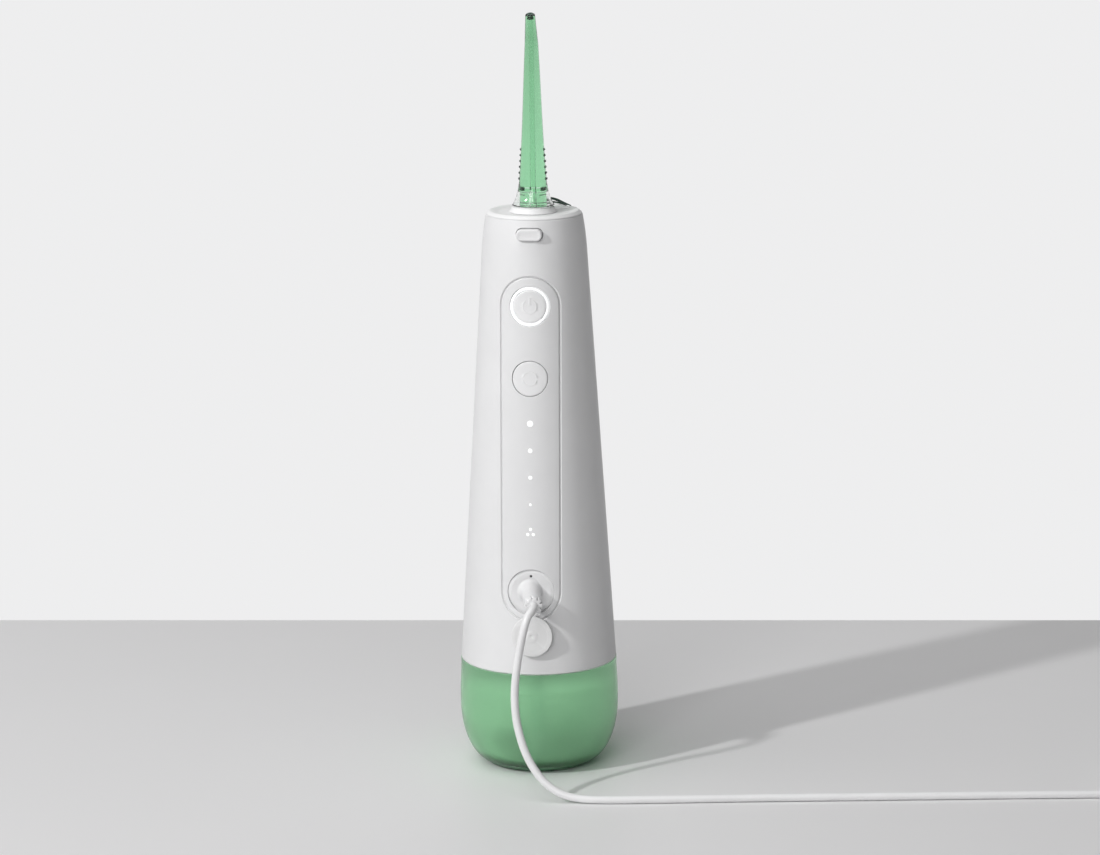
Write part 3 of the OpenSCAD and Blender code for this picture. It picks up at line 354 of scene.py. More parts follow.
def rounded(points, steps=5):
    """A profile whose corners are (u, v, r): each is replaced with an arc of that radius."""
    out = []
    for i, p in enumerate(points):
        q = V(*p[:2])
        r = p[2] if len(p) > 2 else 0
        if not r or i in (0, len(points) - 1):
            out.append(tuple(q))
            continue
        a, b = V(*points[i - 1][:2]) - q, V(*points[i + 1][:2]) - q
        la, lb = np.linalg.norm(a), np.linalg.norm(b)
        a, b = a / la, b / lb
        half = math.acos(max(-1, min(1, a @ b))) / 2
        reach = min(r / math.tan(half), 0.49 * la, 0.49 * lb)
        r = reach * math.tan(half)
        centre = q + unit(a + b) * r / math.sin(half)
        s, e = q + a * reach - centre, q + b * reach - centre
        turn = math.acos(max(-1, min(1, (s @ e) / (r * r))))
        for w in (k / steps for k in range(steps + 1)):
            out.append(tuple(centre + (math.sin((1 - w) * turn) * s + math.sin(w * turn) * e)
                             / math.sin(turn)))
    return out


def round_box(w, h, r, n=8):
    """A rectangle's outline with round corners, from its half sizes, anticlockwise."""
    return [(x + r * math.cos(a), y + r * math.sin(a))
            for x, y, first in ((w - r, h - r, 0), (-w + r, h - r, 90), (-w + r, -h + r, 180),
                                (w - r, -h + r, 270))
            for a in (math.radians(first + 90 * k / n) for k in range(n + 1))]


def boxes_y(middle, sections):
    """Rounded rectangles (y, half width, half height, corner radius) round a line along +Y."""
    return [[(middle[0] + u, y, middle[2] + v) for u, v in round_box(w, h, r)]
            for y, w, h, r in sections]


def mesh_piece(name, shape, body, slot, *replaces, sharp=38, also=()):
    """replaces names the CAD nodes that the piece stands for. also is [(material, test), ...]: a
    face wears the first whose test its middle point passes, in mm, or else the slot's own."""
    mesh = bpy.data.meshes.new(name)
    mesh.from_pydata([tuple(p * MM) for p in shape.points], [], shape.faces)
    bm = bmesh.new()
    bm.from_mesh(mesh)
    bmesh.ops.recalc_face_normals(bm, faces=bm.faces[:])
    bm.to_mesh(mesh)
    bm.free()
    mesh.shade_smooth()
    if shape.normals:
        normals = np.array([v.normal for v in mesh.vertices], float)
        for i, n in shape.normals.items():
            normals[i] = n
        mesh.normals_split_custom_set_from_vertices([tuple(n) for n in normals])
    else:
        mesh.set_sharp_from_angle(angle=math.radians(sharp))
    for key in (slot, *(key for key, _ in also)):
        mesh.materials.append(mats[key])
    for face in mesh.polygons if also else ():
        passed = [bool(test(V(*face.center) / MM)) for _, test in also]
        face.material_index = 1 + passed.index(True) if True in passed else 0
    obj = new_object(name, mesh)
    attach(obj, body)
    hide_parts(*replaces)
    return obj


everywhere = lambda p: True

# ---- Charging lead

CABLE_R = 1.5
route = [
    (2.6, -43, 71.7), (2.7, -44.6, 71.5), (2.2, -46.9, 70.7), (1, -48.7, 69.1),
    (0.1, -49.8, 66.6), (-0.8, -50.5, 63),
    (-2.2, -50.8, 56), (-3.4, -51.2, 48), (-4, -51.6, 40), (-3.6, -52.4, 32), (-2.2, -53.4, 25),
    (0.2, -54.6, 18), (3.6, -55.8, 12), (8, -56.8, 7), (14, -57.6, 3.4), (21, -57.9, 1.9),
    (30, -57.8, 1.6), (46, -56.3, 1.6), (65, -54.2, 1.6), (84, -52, 1.6), (102, -50.1, 1.6),
    (121, -48.2, 1.6), (139, -46.3, 1.6), (158, -44.4, 1.6), (176, -42.5, 1.6),
    (195, -40.7, 1.6), (213, -38.9, 1.6), (231, -37, 1.9)]
tail = [(262, -3.3, 4.4), (262, 1, 4.2), (262, 6, 4.2)]
COIL_MIDDLE = V(241, -15)
COIL_START, COIL_STEPS, JOG_FROM = 84.3, 40, 0.78


def coil_points():
    """Three turns inwards on the table, then three outwards on top of them. Each turn is round
    up to JOG_FROM of its way, and then moves over to the next."""
    radii, heights = [21, 18, 15, 15, 18, 21], [2.0, 2.0, 2.0, 5.0, 5.0, 5.0]
    out = []
    for i in range(int((5 + COIL_START / 360) * COIL_STEPS) + 1):
        turns = i / COIL_STEPS
        k = int(turns)
        jog = ease((turns - k - JOG_FROM) / (1 - JOG_FROM)) if k < 5 else 0
        r, z = (row[k] + (row[min(k + 1, 5)] - row[k]) * jog for row in (radii, heights))
        a = TAU * turns - math.radians(COIL_START)
        out.append((*(COIL_MIDDLE + r * V(math.cos(a), math.sin(a))), z))
    return out


def path_length(path):
    return sum(np.linalg.norm(b - a) for a, b in zip(path, path[1:]))


lead_path = smooth_path(route, 6) + smooth_path(coil_points() + tail, 2)
lead = Shape()
lead.tube(lead_path, CABLE_R, n=18)
cable = mesh_piece("charging_cable", lead, "lead", "lead_white", "charge_cable", "cable_coil")

# The band that ties the coil, with rolled edges and a shallow waist
*_, tie_mid, tie_half = box_mm("coil_tie")
tie = Shape()
waist = [(-1.2, 0), (-1.0, 0.08), (1.0, 0.08), (1.2, 0)]
edge = [(0, 0.45), (0, 0.12), (0.15, 0)]
tie.stack(boxes_y(tie_mid, [
    (tie_mid[1] + y, tie_half[0] - inset, tie_half[2] - inset, 1.7)
    for y, inset in [*((d - tie_half[1], i) for d, i in edge), *waist,
                     *((tie_half[1] - d, i) for d, i in edge[::-1])]]), closed=True)
tie_piece = mesh_piece("coil_band", tie, "lead", "black_plastic", "coil_tie")

# The USB plug: a grip with rounded corners and finger ridges, a folded shell and its tongue
grip_low, grip_high, grip_mid, _ = box_mm("usb_grip")
grip = Shape()
y0, y1 = grip_low[1], grip_high[1]
sections = [(y0, 4.3, 3.2, 1.6), (y0 + 0.3, 4.8, 3.5, 1.8), (y0 + 1.6, 6.2, 3.8, 1.9),
            (y0 + 3.4, 7.2, 3.95, 2.0), (y0 + 5, 7.45, 4, 2.0)]
for y in (y0 + 6 + 1.5 * k for k in range(5)):
    sections += [(y, 7.5, 4, 2), (y + 0.25, 7.15, 3.75, 1.9), (y + 0.65, 7.15, 3.75, 1.9),
                 (y + 0.9, 7.5, 4, 2)]
sections += [(y1 - 0.6, 7.5, 4, 2), (y1 - 0.15, 7.35, 3.85, 1.9), (y1, 7.0, 3.5, 1.7)]
grip.loft(boxes_y(grip_mid, sections))
grip_piece = mesh_piece("usb_plug_grip", grip, "lead", "plug_white", "usb_grip")

shell_low, shell_high, shell_mid, shell_half = box_mm("usb_shell")
y0, y1 = shell_low[1] + 4.2, shell_high[1]
shell = Shape()
shell.loft(boxes_y(shell_mid, [
    (y, shell_half[0] - inset, shell_half[2] - inset, 0.6) for y, inset in
    ((y0, 0), (y1 - 0.5, 0), (y1, 0.12), (y1, 0.25), (y0 + 0.4, 0.3))]))
for x in (shell_mid[0] - 2.7, shell_mid[0] + 2.7):  # the two latch windows, as low squares
    shell.loft([[(x + u * k, y1 - 5.2 + v * k, shell_high[2] + lift)
                 for u, v in ((-1, -1), (1, -1), (1, 1), (-1, 1))]
                for k, lift in ((1.25, -0.2), (1.25, 0.02), (1.1, 0.02), (1.05, -0.1))])
shell_piece = mesh_piece("usb_plug_shell", shell, "lead", "usb_steel", "usb_shell")

tongue_low, tongue_high, tongue_mid, (w, _, h) = box_mm("usb_tongue")
tongue = Shape()
tongue.loft(boxes_y(tongue_mid, [(tongue_low[1] + 4, w, h, 0.3), (tongue_high[1] - 0.4, w, h, 0.3),
                                 (tongue_high[1], w - 0.3, h - 0.25, 0.25)]))
tongue_piece = mesh_piece("usb_plug_tongue", tongue, "lead", "usb_white", "usb_tongue")

relief_from, relief_to = V(0, -27.55, 72.8), V(2.6, -43.0, 71.7)
round(path_length(lead_path) * MM, 3)

# ---- Floor, background and lights

TABLE_W, TABLE_T = 5200, 60
edge_left, edge_right = V(-261.4, 191.3), V(227.0, 219.7)  # two points of the far edge
along = unit(edge_right - edge_left)
back = V(-along[1], along[0])
far = (edge_left + edge_right) / 2
corners = [far + along * TABLE_W * u - back * TABLE_W * v
           for u, v in ((-0.5, 0), (0.5, 0), (0.5, 0.5), (-0.5, 0.5))]
table = Shape()
rings = []
for inset, z in ((40, -TABLE_T), (2, -TABLE_T), (0, 2 - TABLE_T), (0, -2), (0.6, -0.6), (2, 0),
                 (40, 0)):
    rings.append([(*(c + unit(corners[i - 1] + corners[(i + 1) % 4] - 2 * c)
                     * inset * math.sqrt(2)), z) for i, c in enumerate(corners)])
table.loft(rings)
floor_mesh = bpy.data.meshes.new("table_top")
floor_mesh.from_pydata([tuple(p * MM) for p in table.points], [], table.faces)
floor_mesh.materials.append(mats["floor"])
new_object("table_top", floor_mesh)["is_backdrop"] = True

# Rays from the camera and in gloss and clear plastic see a white wall; the rest, a dim room
world = bpy.data.worlds.new("studio")
bpy.context.scene.world = world
world.use_nodes = True
wt = world.node_tree
wall = add(wt, "ShaderNodeBackground", color=(0.855, 0.855, 0.86, 1), strength=1.0)
fill = add(wt, "ShaderNodeBackground", color=(0.99, 0.99, 1.0, 1), strength=0.02)
rays = wt.nodes.new("ShaderNodeLightPath").outputs
seen = rays["Is Camera Ray"]
for kind in ("Is Glossy Ray", "Is Transmission Ray"):
    either = add(wt, "ShaderNodeMath", operation="ADD", use_clamp=True)
    link(wt, seen, either.inputs[0])
    link(wt, rays[kind], either.inputs[1])
    seen = either.outputs[0]
sky = wt.nodes.new("ShaderNodeMixShader")
for socket, source in zip(sky.inputs, (seen, fill.outputs[0], wall.outputs[0])):
    link(wt, source, socket)
link(wt, sky.outputs[0], wt.nodes["World Output"].inputs["Surface"])

# A small hard key from the left, a broad panel overhead and one in front. Metres here.
KEY_TURN, KEY_RISE, KEY_FAR = math.radians(43), math.radians(35), 1.7
key_place = KEY_FAR * V(-math.cos(KEY_TURN) * math.cos(KEY_RISE),
                        -math.sin(KEY_TURN) * math.cos(KEY_RISE), math.sin(KEY_RISE))
for name, place, aim_z, size, power, form in (
        ("key", key_place, 0.08, 0.08, 12, "DISK"),
        ("soft_top", (-0.8, -0.6, 3.3), 0.1, 2.6, 44, "SQUARE"),
        ("soft_front", (-0.65, -4.1, 2.2), 0.1, 2.1, 62, "SQUARE")):
    lamp = bpy.data.lights.new(name, "AREA")
    lamp.shape, lamp.size, lamp.energy = form, size, power
    obj = new_object(name, lamp)
    obj.location = place
    obj.rotation_mode = "QUATERNION"
    obj.rotation_quaternion = (Vector((0, 0, aim_z)) - Vector(place)).to_track_quat("-Z", "Y")

# ---- The handle's surface, with part.scad's dimensions

SEAT, GAP = 0.3, 0.2
housing_low, housing_high, *_ = box_mm("outer_housing")
SEAM_Z, CAP_Z = housing_low[2] - SEAT, housing_high[2]
SEAM_R, WALL, PANEL_T = 29.85, 2.0, 1.2
SHOULDER_H, SHOULDER_DROP, TAPER_DROP = 13, 1.6, 10
SHOULDER_Z, SHOULDER_R = CAP_Z - SHOULDER_H, SEAM_R - TAPER_DROP
TAPER = TAPER_DROP / (SHOULDER_Z - SEAM_Z)
TILT = math.atan(TAPER)
POWER_Z, PORT_Z, RELEASE_Z = CAP_Z - 32, SEAM_Z + 31.8, CAP_Z - 5.2
SPAN = POWER_Z - PORT_Z
MODE_Z = POWER_Z - 0.25 * SPAN
POWER_R, MODE_R, RING_R = 6.2, 6.6, (6.35, 7.4)
PANEL_R, PORT_R, PORT_HOLE = 11.25, 8.8, 6.25
RECESS_Y = -(SEAM_R - TAPER * (PORT_Z - SEAM_Z)) + 2.2
RELEASE_L, RELEASE_H = 9.8, 4.4
FACE = V(0, -math.cos(TILT), math.sin(TILT))  # out of the slanting front
RISE = V(0, math.sin(TILT), math.cos(TILT))  # up along it


def shell_r(z):
    if z <= SHOULDER_Z:
        return SEAM_R - TAPER * (z - SEAM_Z)
    t, lean = (z - SHOULDER_Z) / SHOULDER_H, TAPER * SHOULDER_H
    return SHOULDER_R - lean * t - (SHOULDER_DROP - lean) * t * t


def shell_slope(z):
    return (shell_r(z + 0.05) - shell_r(z - 0.05)) / 0.1


def on_shell(x, z, inset=0.0):
    """A point of the front surface over (x, z), moved inwards."""
    r = shell_r(z) - inset
    return V(x, -math.sqrt(max(r * r - x * x, 0.01)), z)


def shell_normal(x, z):
    s = x / shell_r(z)
    return unit(V(s, -math.sqrt(max(1 - s * s, 0)), -shell_slope(z)))


def stadium(r, low, high, n=40, side=36):
    """The panel's outline with half-width r: two half circles and two straight sides."""
    half = [(r * math.cos(math.pi * k / n), r * math.sin(math.pi * k / n)) for k in range(n + 1)]
    up = [low + (high - low) * k / side for k in range(1, side)]
    return [*((x, high + z) for x, z in half), *((-r, z) for z in up[::-1]),
            *((-x, low - z) for x, z in half), *((r, z) for z in up)]


def pill(cx, cz, l, h, n=14):
    half = (l - h) / 2
    pts = [(cx + half + h / 2 * math.sin(math.pi * k / n), cz - h / 2 * math.cos(math.pi * k / n))
           for k in range(n + 1)]
    return pts + [(2 * cx - x, 2 * cz - z) for x, z in pts]


def ring_of(cx, cz, r, n=48):
    """The outline of a round hole square to the slanting front, as a function of its offset."""
    return lambda d: [(cx + (r + d) * c, cz + (r + d) * math.cos(TILT) * s) for c, s in spokes(n)]


def inside(points, ring):
    """Which of the points (n, 2) lie inside the ring."""
    pts, r = np.asarray(points), np.asarray(ring)
    hit = np.zeros(len(pts), bool)
    for (x0, z0), (x1, z1) in zip(r, np.roll(r, -1, axis=0)):
        if z0 != z1:
            cross = (z0 > pts[:, 1]) != (z1 > pts[:, 1])
            hit ^= cross & (pts[:, 0] < (x1 - x0) * (pts[:, 1] - z0) / (z1 - z0) + x0)
    return hit


def fill_flat(shape, outer, holes, place, spacing=1.6, normal=None):
    """Fills between an outer ring and holes, each ([(x, z)], [ids]), over place(x, z)."""
    between = lambda pts: inside(pts, outer[0]) & ~np.any(
        [np.zeros(len(pts), bool), *(inside(pts, ring) for ring, _ in holes)], axis=0)
    flat, ids, edges = [], [], []
    for ring, ring_ids in [outer, *holes]:
        first, n = len(flat), len(ring)
        flat += [tuple(p) for p in ring]
        ids += list(ring_ids)
        edges += [(first + i, first + (i + 1) % n) for i in range(n)]
    lines = np.array(flat)
    low, high = lines.min(0), lines.max(0)
    grid = np.array([(x, z) for z in np.arange(low[1] + spacing / 2, high[1], spacing)
                     for x in np.arange(low[0] + spacing / 2, high[0], spacing)]).reshape(-1, 2)
    for g in grid[between(grid)]:
        if np.min(np.hypot(*(lines - g).T)) > 0.45 * spacing:
            ids.append(shape.ring([place(*g)], [normal(*g)] if normal else None)[0])
            flat.append(tuple(g))
    out_v, _, out_f, orig, _, _ = delaunay_2d_cdt([Vector(p) for p in flat], edges, [], 0, 1e-6)
    centres = np.array([np.mean([out_v[i] for i in f], axis=0) for f in out_f])
    shape.faces += [tuple(ids[orig[i][0]] for i in f)
                    for f, use in zip(out_f, between(centres)) if use]


def surround(shape, outline, profile):
    """Rings on the front surface that follow an outline, which gives its points moved out by d.
    profile is [(d, inset), ...]. Gives each ring, flat and as ids."""
    flats = [outline(d) for d, _ in profile]
    grid = np.array([[on_shell(x, z, inset) for x, z in flat]
                     for (_, inset), flat in zip(profile, flats)])
    ids, sign = [], None
    for k, row in enumerate(grid):
        along = np.roll(row, -1, 0) - np.roll(row, 1, 0)
        across = grid[min(k + 1, len(grid) - 1)] - grid[max(k - 1, 0)]
        n = np.cross(along, across)
        n /= np.maximum(np.linalg.norm(n, axis=1), 1e-9)[:, None]
        if sign is None:
            surface = np.array([shell_normal(x, z) for x, z in flats[k]])
            sign = np.sign(np.sum(n * surface))
            ids.append(shape.ring(row, list(surface)))
        else:
            ids.append(shape.ring(row, list(n * sign)))
    for a, b in zip(ids, ids[1:]):
        shape.strip(a, b)
    return list(zip(flats, ids))


def round_edge(r, depth, d=0.0, steps=5, foot=0.08, side=-1):
    """(d, inset) over a rounded edge and down a wall at d to a depth. side -1 starts on the
    surface outside a pocket, +1 on the surface inside an insert's outline."""
    arc = [(d - side * r * (1 - math.sin(a)), r * (1 - math.cos(a)))
           for a in np.linspace(0, math.pi / 2, steps + 1)]
    return [*arc, (d, (r + depth) / 2), (d, depth - foot),
            (d + side * foot * 0.3, depth - foot * 0.3), (d + side * foot, depth)]


def on_front(cz, flat_from=3):
    """place() for shapes turned about the front's normal at height cz. Down to flat_from they
    follow the curved front, and deeper they are flat."""
    def place(u, w, depth):
        if depth > flat_from:
            return on_shell(0, cz) - FACE * depth + X * u + RISE * w
        return on_shell(u, cz + w * math.cos(TILT)) - FACE * depth
    return place


panel_line = lambda d: stadium(PANEL_R + d, PORT_Z, POWER_Z)
release_line = lambda d: pill(0, RELEASE_Z, RELEASE_L + 2 * d, RELEASE_H + 2 * d)
# Four lights of falling size, and three in a cluster below them
lights = [(0, POWER_Z - (0.406 + 0.0945 * i) * SPAN, r)
          for i, r in enumerate((1.15, 0.85, 0.75, 0.5))]
lights += [(x, POWER_Z - 0.787 * SPAN + z, 0.6)
           for x, z in ((0, 1.1), (-1.05, -0.8), (1.05, -0.8))]

# Housing: a turned shell whose front window holds the panel's pocket, the port and the holes
STEP, WINDOW = 2.5, 45  # degrees
cols_out = np.arange(WINDOW, 360 - WINDOW + STEP / 2, STEP)
cols_in = np.arange(-WINDOW + STEP, WINDOW - STEP / 2, STEP)


def shell_ring(z, angles, inset=0.0):
    """Points of the shell at a height, at angles from the front towards +X, and their normals."""
    a = np.radians(angles)
    r = shell_r(z) - inset
    n = np.c_[np.sin(a), -np.cos(a), np.full(len(a), -shell_slope(z))]
    return (np.c_[r * np.sin(a), -r * np.cos(a), np.full(len(a), z)],
            n / np.linalg.norm(n, axis=1)[:, None])


def skin(shape, rows, inset, sign):
    """A sleeve of the shell with an open window at the front. Gives its lower and upper full
    rings and the window's outline, flat and as ids."""
    def ring(z, angles):
        points, normals = shell_ring(z, angles, inset)
        return shape.ring(points, list(sign * normals))
    strips = [ring(z, cols_out) for z in rows]
    for a, b in zip(strips, strips[1:]):
        shape.strip(a, b, closed=False)
    low, high = ring(rows[0], cols_in), ring(rows[-1], cols_in)
    order = [strips[0][-1], *low, *(ids[0] for ids in strips), *high[::-1],
             *(ids[-1] for ids in strips[:0:-1])]
    return strips[0] + low, strips[-1] + high, shape.flat(order)


rows = [z for z in (SEAM_Z + 0.65 + k * 3.2 for k in range(49)) if z < SHOULDER_Z - 1]
rows += [SHOULDER_Z + d for d in (-1, 0, 1.2, 2.6, 4.2)]
rows += [SHOULDER_Z + 6 + k * 1.1 for k in range(6)] + [CAP_Z - 0.35]
inner_rows = rows[::2] if len(rows) % 2 else rows[::2] + [rows[-1]]
housing = Shape()
out_low, out_high, out_window = skin(housing, rows, 0.0, 1)
in_low, in_high, in_window = skin(housing, inner_rows, WALL, -1)
groove = round_edge(0.5, 0.52)[:6] + [(-0.12, 0.56), (-0.26, 0.56), (-0.3, 0.62), (-0.3, 0.9),
                                      (-0.3, 1.12), (-0.33, 1.17), (-0.38, PANEL_T)]
pocket = surround(housing, panel_line, groove)
slot = surround(housing, release_line, round_edge(0.3, 1.4, d=GAP) + [(GAP, WALL)])
fill_flat(housing, out_window, [pocket[0], slot[0]], on_shell, spacing=1.5, normal=shell_normal)
# The pocket's floor, then the holes through it to the inner skin, which is thicker at the port
floor_at = lambda x, z: on_shell(x, z, PANEL_T)
inner_at = lambda x, z: on_shell(
    x, z, WALL + 0.95 * ease((13.5 - math.hypot(x, z - PORT_Z)) / 3))
inner_normal = lambda x, z: -shell_normal(x, z)
key_holes = [ring_of(0, POWER_Z, RING_R[1] + GAP), ring_of(0, MODE_Z, MODE_R + GAP)]
floor_holes, inner_holes = [], []
for line in key_holes + [ring_of(x, z, r + 0.05, 20) for x, z, r in lights]:
    flat = line(0)
    top, low = (housing.ring([at(x, z) for x, z in flat]) for at in (floor_at, inner_at))
    housing.strip(top, low)
    floor_holes.append((flat, top))
    inner_holes.append((flat, low))
port, hole = ring_of(0, PORT_Z, PORT_R, 72), ring_of(0, PORT_Z, PORT_HOLE, 72)
steps = [housing.ring([floor_at(x, z) for x, z in port(0)])]
steps += [housing.ring([(x, RECESS_Y + dy, z) for x, z in line(d)])
          for line, d, dy in ((port, 0, -0.25), (port, -0.07, -0.07), (port, -0.25, 0),
                              (hole, 0.15, 0), (hole, 0, 0.15))]
steps.append(housing.ring([inner_at(x, z) for x, z in hole(0)]))
for a, b in zip(steps, steps[1:]):
    housing.strip(a, b)
floor_holes.append((port(0), steps[0]))
inner_holes += [(hole(0), steps[-1]), slot[-1]]
fill_flat(housing, pocket[-1], floor_holes, floor_at, spacing=3, normal=shell_normal)
fill_flat(housing, in_window, inner_holes, inner_at, spacing=2.6, normal=inner_normal)
# The rounded lower and upper lips
for edge_z, inwards, first, last in ((housing_low[2], 1, out_low, in_low),
                                     (housing_high[2], -1, out_high, in_high)):
    lip = [housing.ring(shell_ring(edge_z + inwards * d, np.r_[cols_out, cols_in], inset)[0])
           for inset, d in ((0.02, 0.2), (0.1, 0.08), (0.3, 0.0), (WALL - 0.3, 0.0),
                            (WALL - 0.08, 0.08))]
    for a, b in zip([first, *lip], [*lip, last]):
        housing.strip(a, b)
mesh_piece("housing_shell", housing, "handle", "housing_white", "outer_housing")

# Panel: an insert with rounded edges, and a hole for each control and light
panel = Shape()
rim = surround(panel, panel_line, round_edge(0.5, 1.1, d=-0.34, side=1))
cuts = [surround(panel, line, round_edge(r, 1.1, steps=3, foot=0.03)) for line, r in (
    *((line, 0.15) for line in key_holes),
    *((ring_of(x, z, r + 0.03, 20), 0.04) for x, z, r in lights), (port, 0.3))]
fill_flat(panel, rim[0], [cut[0] for cut in cuts], on_shell, spacing=1.3, normal=shell_normal)
fill_flat(panel, rim[-1], [cut[-1] for cut in cuts], lambda x, z: on_shell(x, z, 1.1), spacing=3,
          normal=inner_normal)
mesh_piece("control_panel_insert", panel, "handle", "panel_white", "control_panel")

halo = Shape()
low, high = RING_R
halo.turned([(high, 4.4), (high, 0.35), (high - 0.06, 0.14), (high - 0.3, 0.0), (low + 0.3, 0.0),
             (low + 0.06, 0.14), (low, 0.35), (low, 4.4)], on_front(POWER_Z), closed=True)
mesh_piece("power_ring_light", halo, "handle", "ring_light", "power_light_ring")

# The keys' marks: an open ring with a bar, and two arcs
MARK_R, MARK_W, MARK_LIFT = 2.6, 0.17, 0.09


def arc_band(a0, a1):
    """A closed outline of an arc with round ends, in the plane of a button's face."""
    a0, a1 = math.radians(a0), math.radians(a1)
    arc = lambda r, a, b: [(r * math.cos(t), r * math.sin(t)) for t in np.linspace(a, b, 30)]
    cap = lambda a, w: [(MARK_R * math.cos(a) + w * math.cos(a + b),
                         MARK_R * math.sin(a) + w * math.sin(a + b))
                        for b in np.linspace(0, math.pi, 6)[1:-1]]
    return (arc(MARK_R + MARK_W, a0, a1) + cap(a1, MARK_W)
            + arc(MARK_R - MARK_W, a1, a0) + cap(a0, -MARK_W))


def bar(low, high):
    """The outline of an upright bar with round ends."""
    return [(w * math.cos(b), z + w * math.sin(b)) for w, z in ((MARK_W, high), (-MARK_W, low))
            for b in np.linspace(0, math.pi, 7)]


def grown(outline, d):
    """A closed outline moved out by d along its own normals."""
    p = np.array(outline)
    t = np.roll(p, -1, 0) - np.roll(p, 1, 0)
    t /= np.linalg.norm(t, axis=1)[:, None]
    return [tuple(q) for q in p + d * np.c_[t[:, 1], -t[:, 0]]]


def push_key(name, node, body, cz, r, dish, marks):
    """A round key: a rounded edge, a hollow face with a raised mark, and its stem behind."""
    key = Shape()
    ids = key.turned([(r - 0.5, 0.1), (r - 0.25, 0.14), (r - 0.07, 0.25), (r, 0.45), (r, 3.5),
                      (r - 0.1, 3.6), (1.6, 3.6), (1.5, 3.7), (1.5, 5.2), (1.4, 5.3), (0, 5.3)],
                     on_front(cz), n=72)
    face = lambda x, z, lift=0.0: (on_shell(x, z) - FACE * (
        0.1 + dish * (1 - min(1, math.hypot(x, z - cz) / (r - 0.5)) ** 2) - lift))
    islands = []
    for mark in marks:
        mark = [(x, z + cz) for x, z in mark]
        foot = grown(mark, 0.07)
        a = key.ring([face(x, z) for x, z in foot])
        b = key.ring([face(x, z, MARK_LIFT) for x, z in mark])
        key.strip(a, b)
        islands.append((foot, a))
        fill_flat(key, (mark, b), [], lambda x, z: face(x, z, MARK_LIFT), spacing=3)
    fill_flat(key, key.flat(ids[0]), islands, face, spacing=0.8)
    mesh_piece(name, key, body, "button_white", node, sharp=50)


push_key("power_key", "power_button", "power_key", POWER_Z, POWER_R, 0.3,
         [arc_band(128, 412), bar(0.7, 3.1)])
push_key("mode_key", "mode_button", "mode_key", MODE_Z, MODE_R, 0.16,
         [arc_band(15, 165), arc_band(195, 345)])

# Seven short light pipes on one bar behind the panel
guide = Shape()
for x, z, r in lights:
    guide.turned([(0, -0.03), (r * 0.2, -0.03), (r * 0.7, -0.02), (r * 0.95, 0.03), (r, 0.12),
                  (r, 2.6), (0, 2.6)],
                 lambda u, w, depth: on_shell(x + u, z + w) - FACE * depth, n=24)
first, last = lights[0][1], lights[4][1] - 1.1
guide.loft([[on_shell(0, (first + last) / 2) - FACE * depth + X * u + RISE * w
             for u, w in round_box(2 - inset, (first - last + 7) / 2 - inset, 0.8)]
            for depth, inset in ((2.35, 0.15), (2.5, 0), (4.85, 0), (5.0, 0.15))])
mesh_piece("indicator_lights", guide, "handle", "ring_light", "light_guide")

# Nozzle release: a pill with a rounded rim and a shallow hollow, on its flange
face_y = box_mm("release_button")[0][1]
release = Shape()
sections = [(12.8, 5, d, y) for d, y in ((-0.1, -14.3), (0, -14.4), (0, -15.2), (-0.1, -15.3))]
sections.append((RELEASE_L, RELEASE_H, 0, -15.32))
sections += [(RELEASE_L, RELEASE_H, d, face_y + y) for d, y in (
    (0, 0.6), (-0.05, 0.36), (-0.2, 0.14), (-0.42, 0.02), (-0.6, 0), (-0.85, 0.03), (-1.25, 0.1),
    (-1.8, 0.13))]
release.loft([[(x, y, z) for x, z in pill(0, RELEASE_Z, l + 2 * d, h + 2 * d, 18)]
              for l, h, d, y in sections])
mesh_piece("release_key", release, "release", "button_white", "release_button", sharp=50)

# ---- Top cap and dial

AXIS_Y = -3.0  # of the nozzle, its dial and its bore
BORE_R, CAP_TOP, CAP_BACK = 6.35, CAP_Z + 1.1, CAP_Z - 0.9
CAP_R = shell_r(CAP_Z)
cap = Shape()
ids = cap.turned(rounded(
    [(13.0, CAP_BACK), (CAP_R - 2.2, CAP_BACK, 0.2), (CAP_R - 2.2, CAP_Z + 0.05),
     (CAP_R - 0.02, CAP_Z + 0.05, 0.12), (CAP_R - 0.35, CAP_Z + 0.55, 0.8),
     (CAP_R - 1.5, CAP_Z + 1.5, 0.9), (CAP_R - 2.6, CAP_Z + 1.5, 0.6),
     (CAP_R - 4.6, CAP_TOP, 1.6), (CAP_R - 6, CAP_TOP)], 6), n=144)
bore = [(BORE_R * c, AXIS_Y + BORE_R * s) for c, s in spokes(72)]
edges = []
for outer, z, spacing in ((ids[-1], CAP_TOP, 2.5), (ids[0], CAP_BACK, 3)):
    edges.append(cap.ring([(x, y, z) for x, y in bore]))
    fill_flat(cap, ([tuple(cap.points[i][:2]) for i in outer], outer), [(bore, edges[-1])],
              lambda x, y: (x, y, z), spacing)
cap.strip(*edges)
# Faces above CAP_Z + 0.4, which face up, wear the lighter white as painted light from overhead
mesh_piece("top_cap_disc", cap, "handle", "housing_white", "top_cap", sharp=50,
           also=[("painted_light_white", lambda p: p[2] > CAP_Z + 0.4)])

dial_low, dial_high, *_ = box_mm("nozzle_dial")
DIAL_FOOT, DIAL_TOP = dial_low[2], dial_high[2]
about_axis = lambda x, y, z: (x, AXIS_Y + y, z)
dial = Shape()
dial.turned(rounded(
    [(5.0, DIAL_FOOT), (6.05, DIAL_FOOT, 0.2), (6.05, CAP_Z + 1.25), (8.9, CAP_Z + 1.25, 0.08),
     (8.9, CAP_Z + 1.45, 0.1), (7.9, DIAL_TOP - 0.5, 1.6), (7.0, DIAL_TOP, 0.5),
     (4.1, DIAL_TOP, 0.3), (3.8, DIAL_TOP - 0.4, 0.2), (3.8, DIAL_FOOT, 0.2), (5.0, DIAL_FOOT)],
    5)[:-1], about_axis, closed=True)
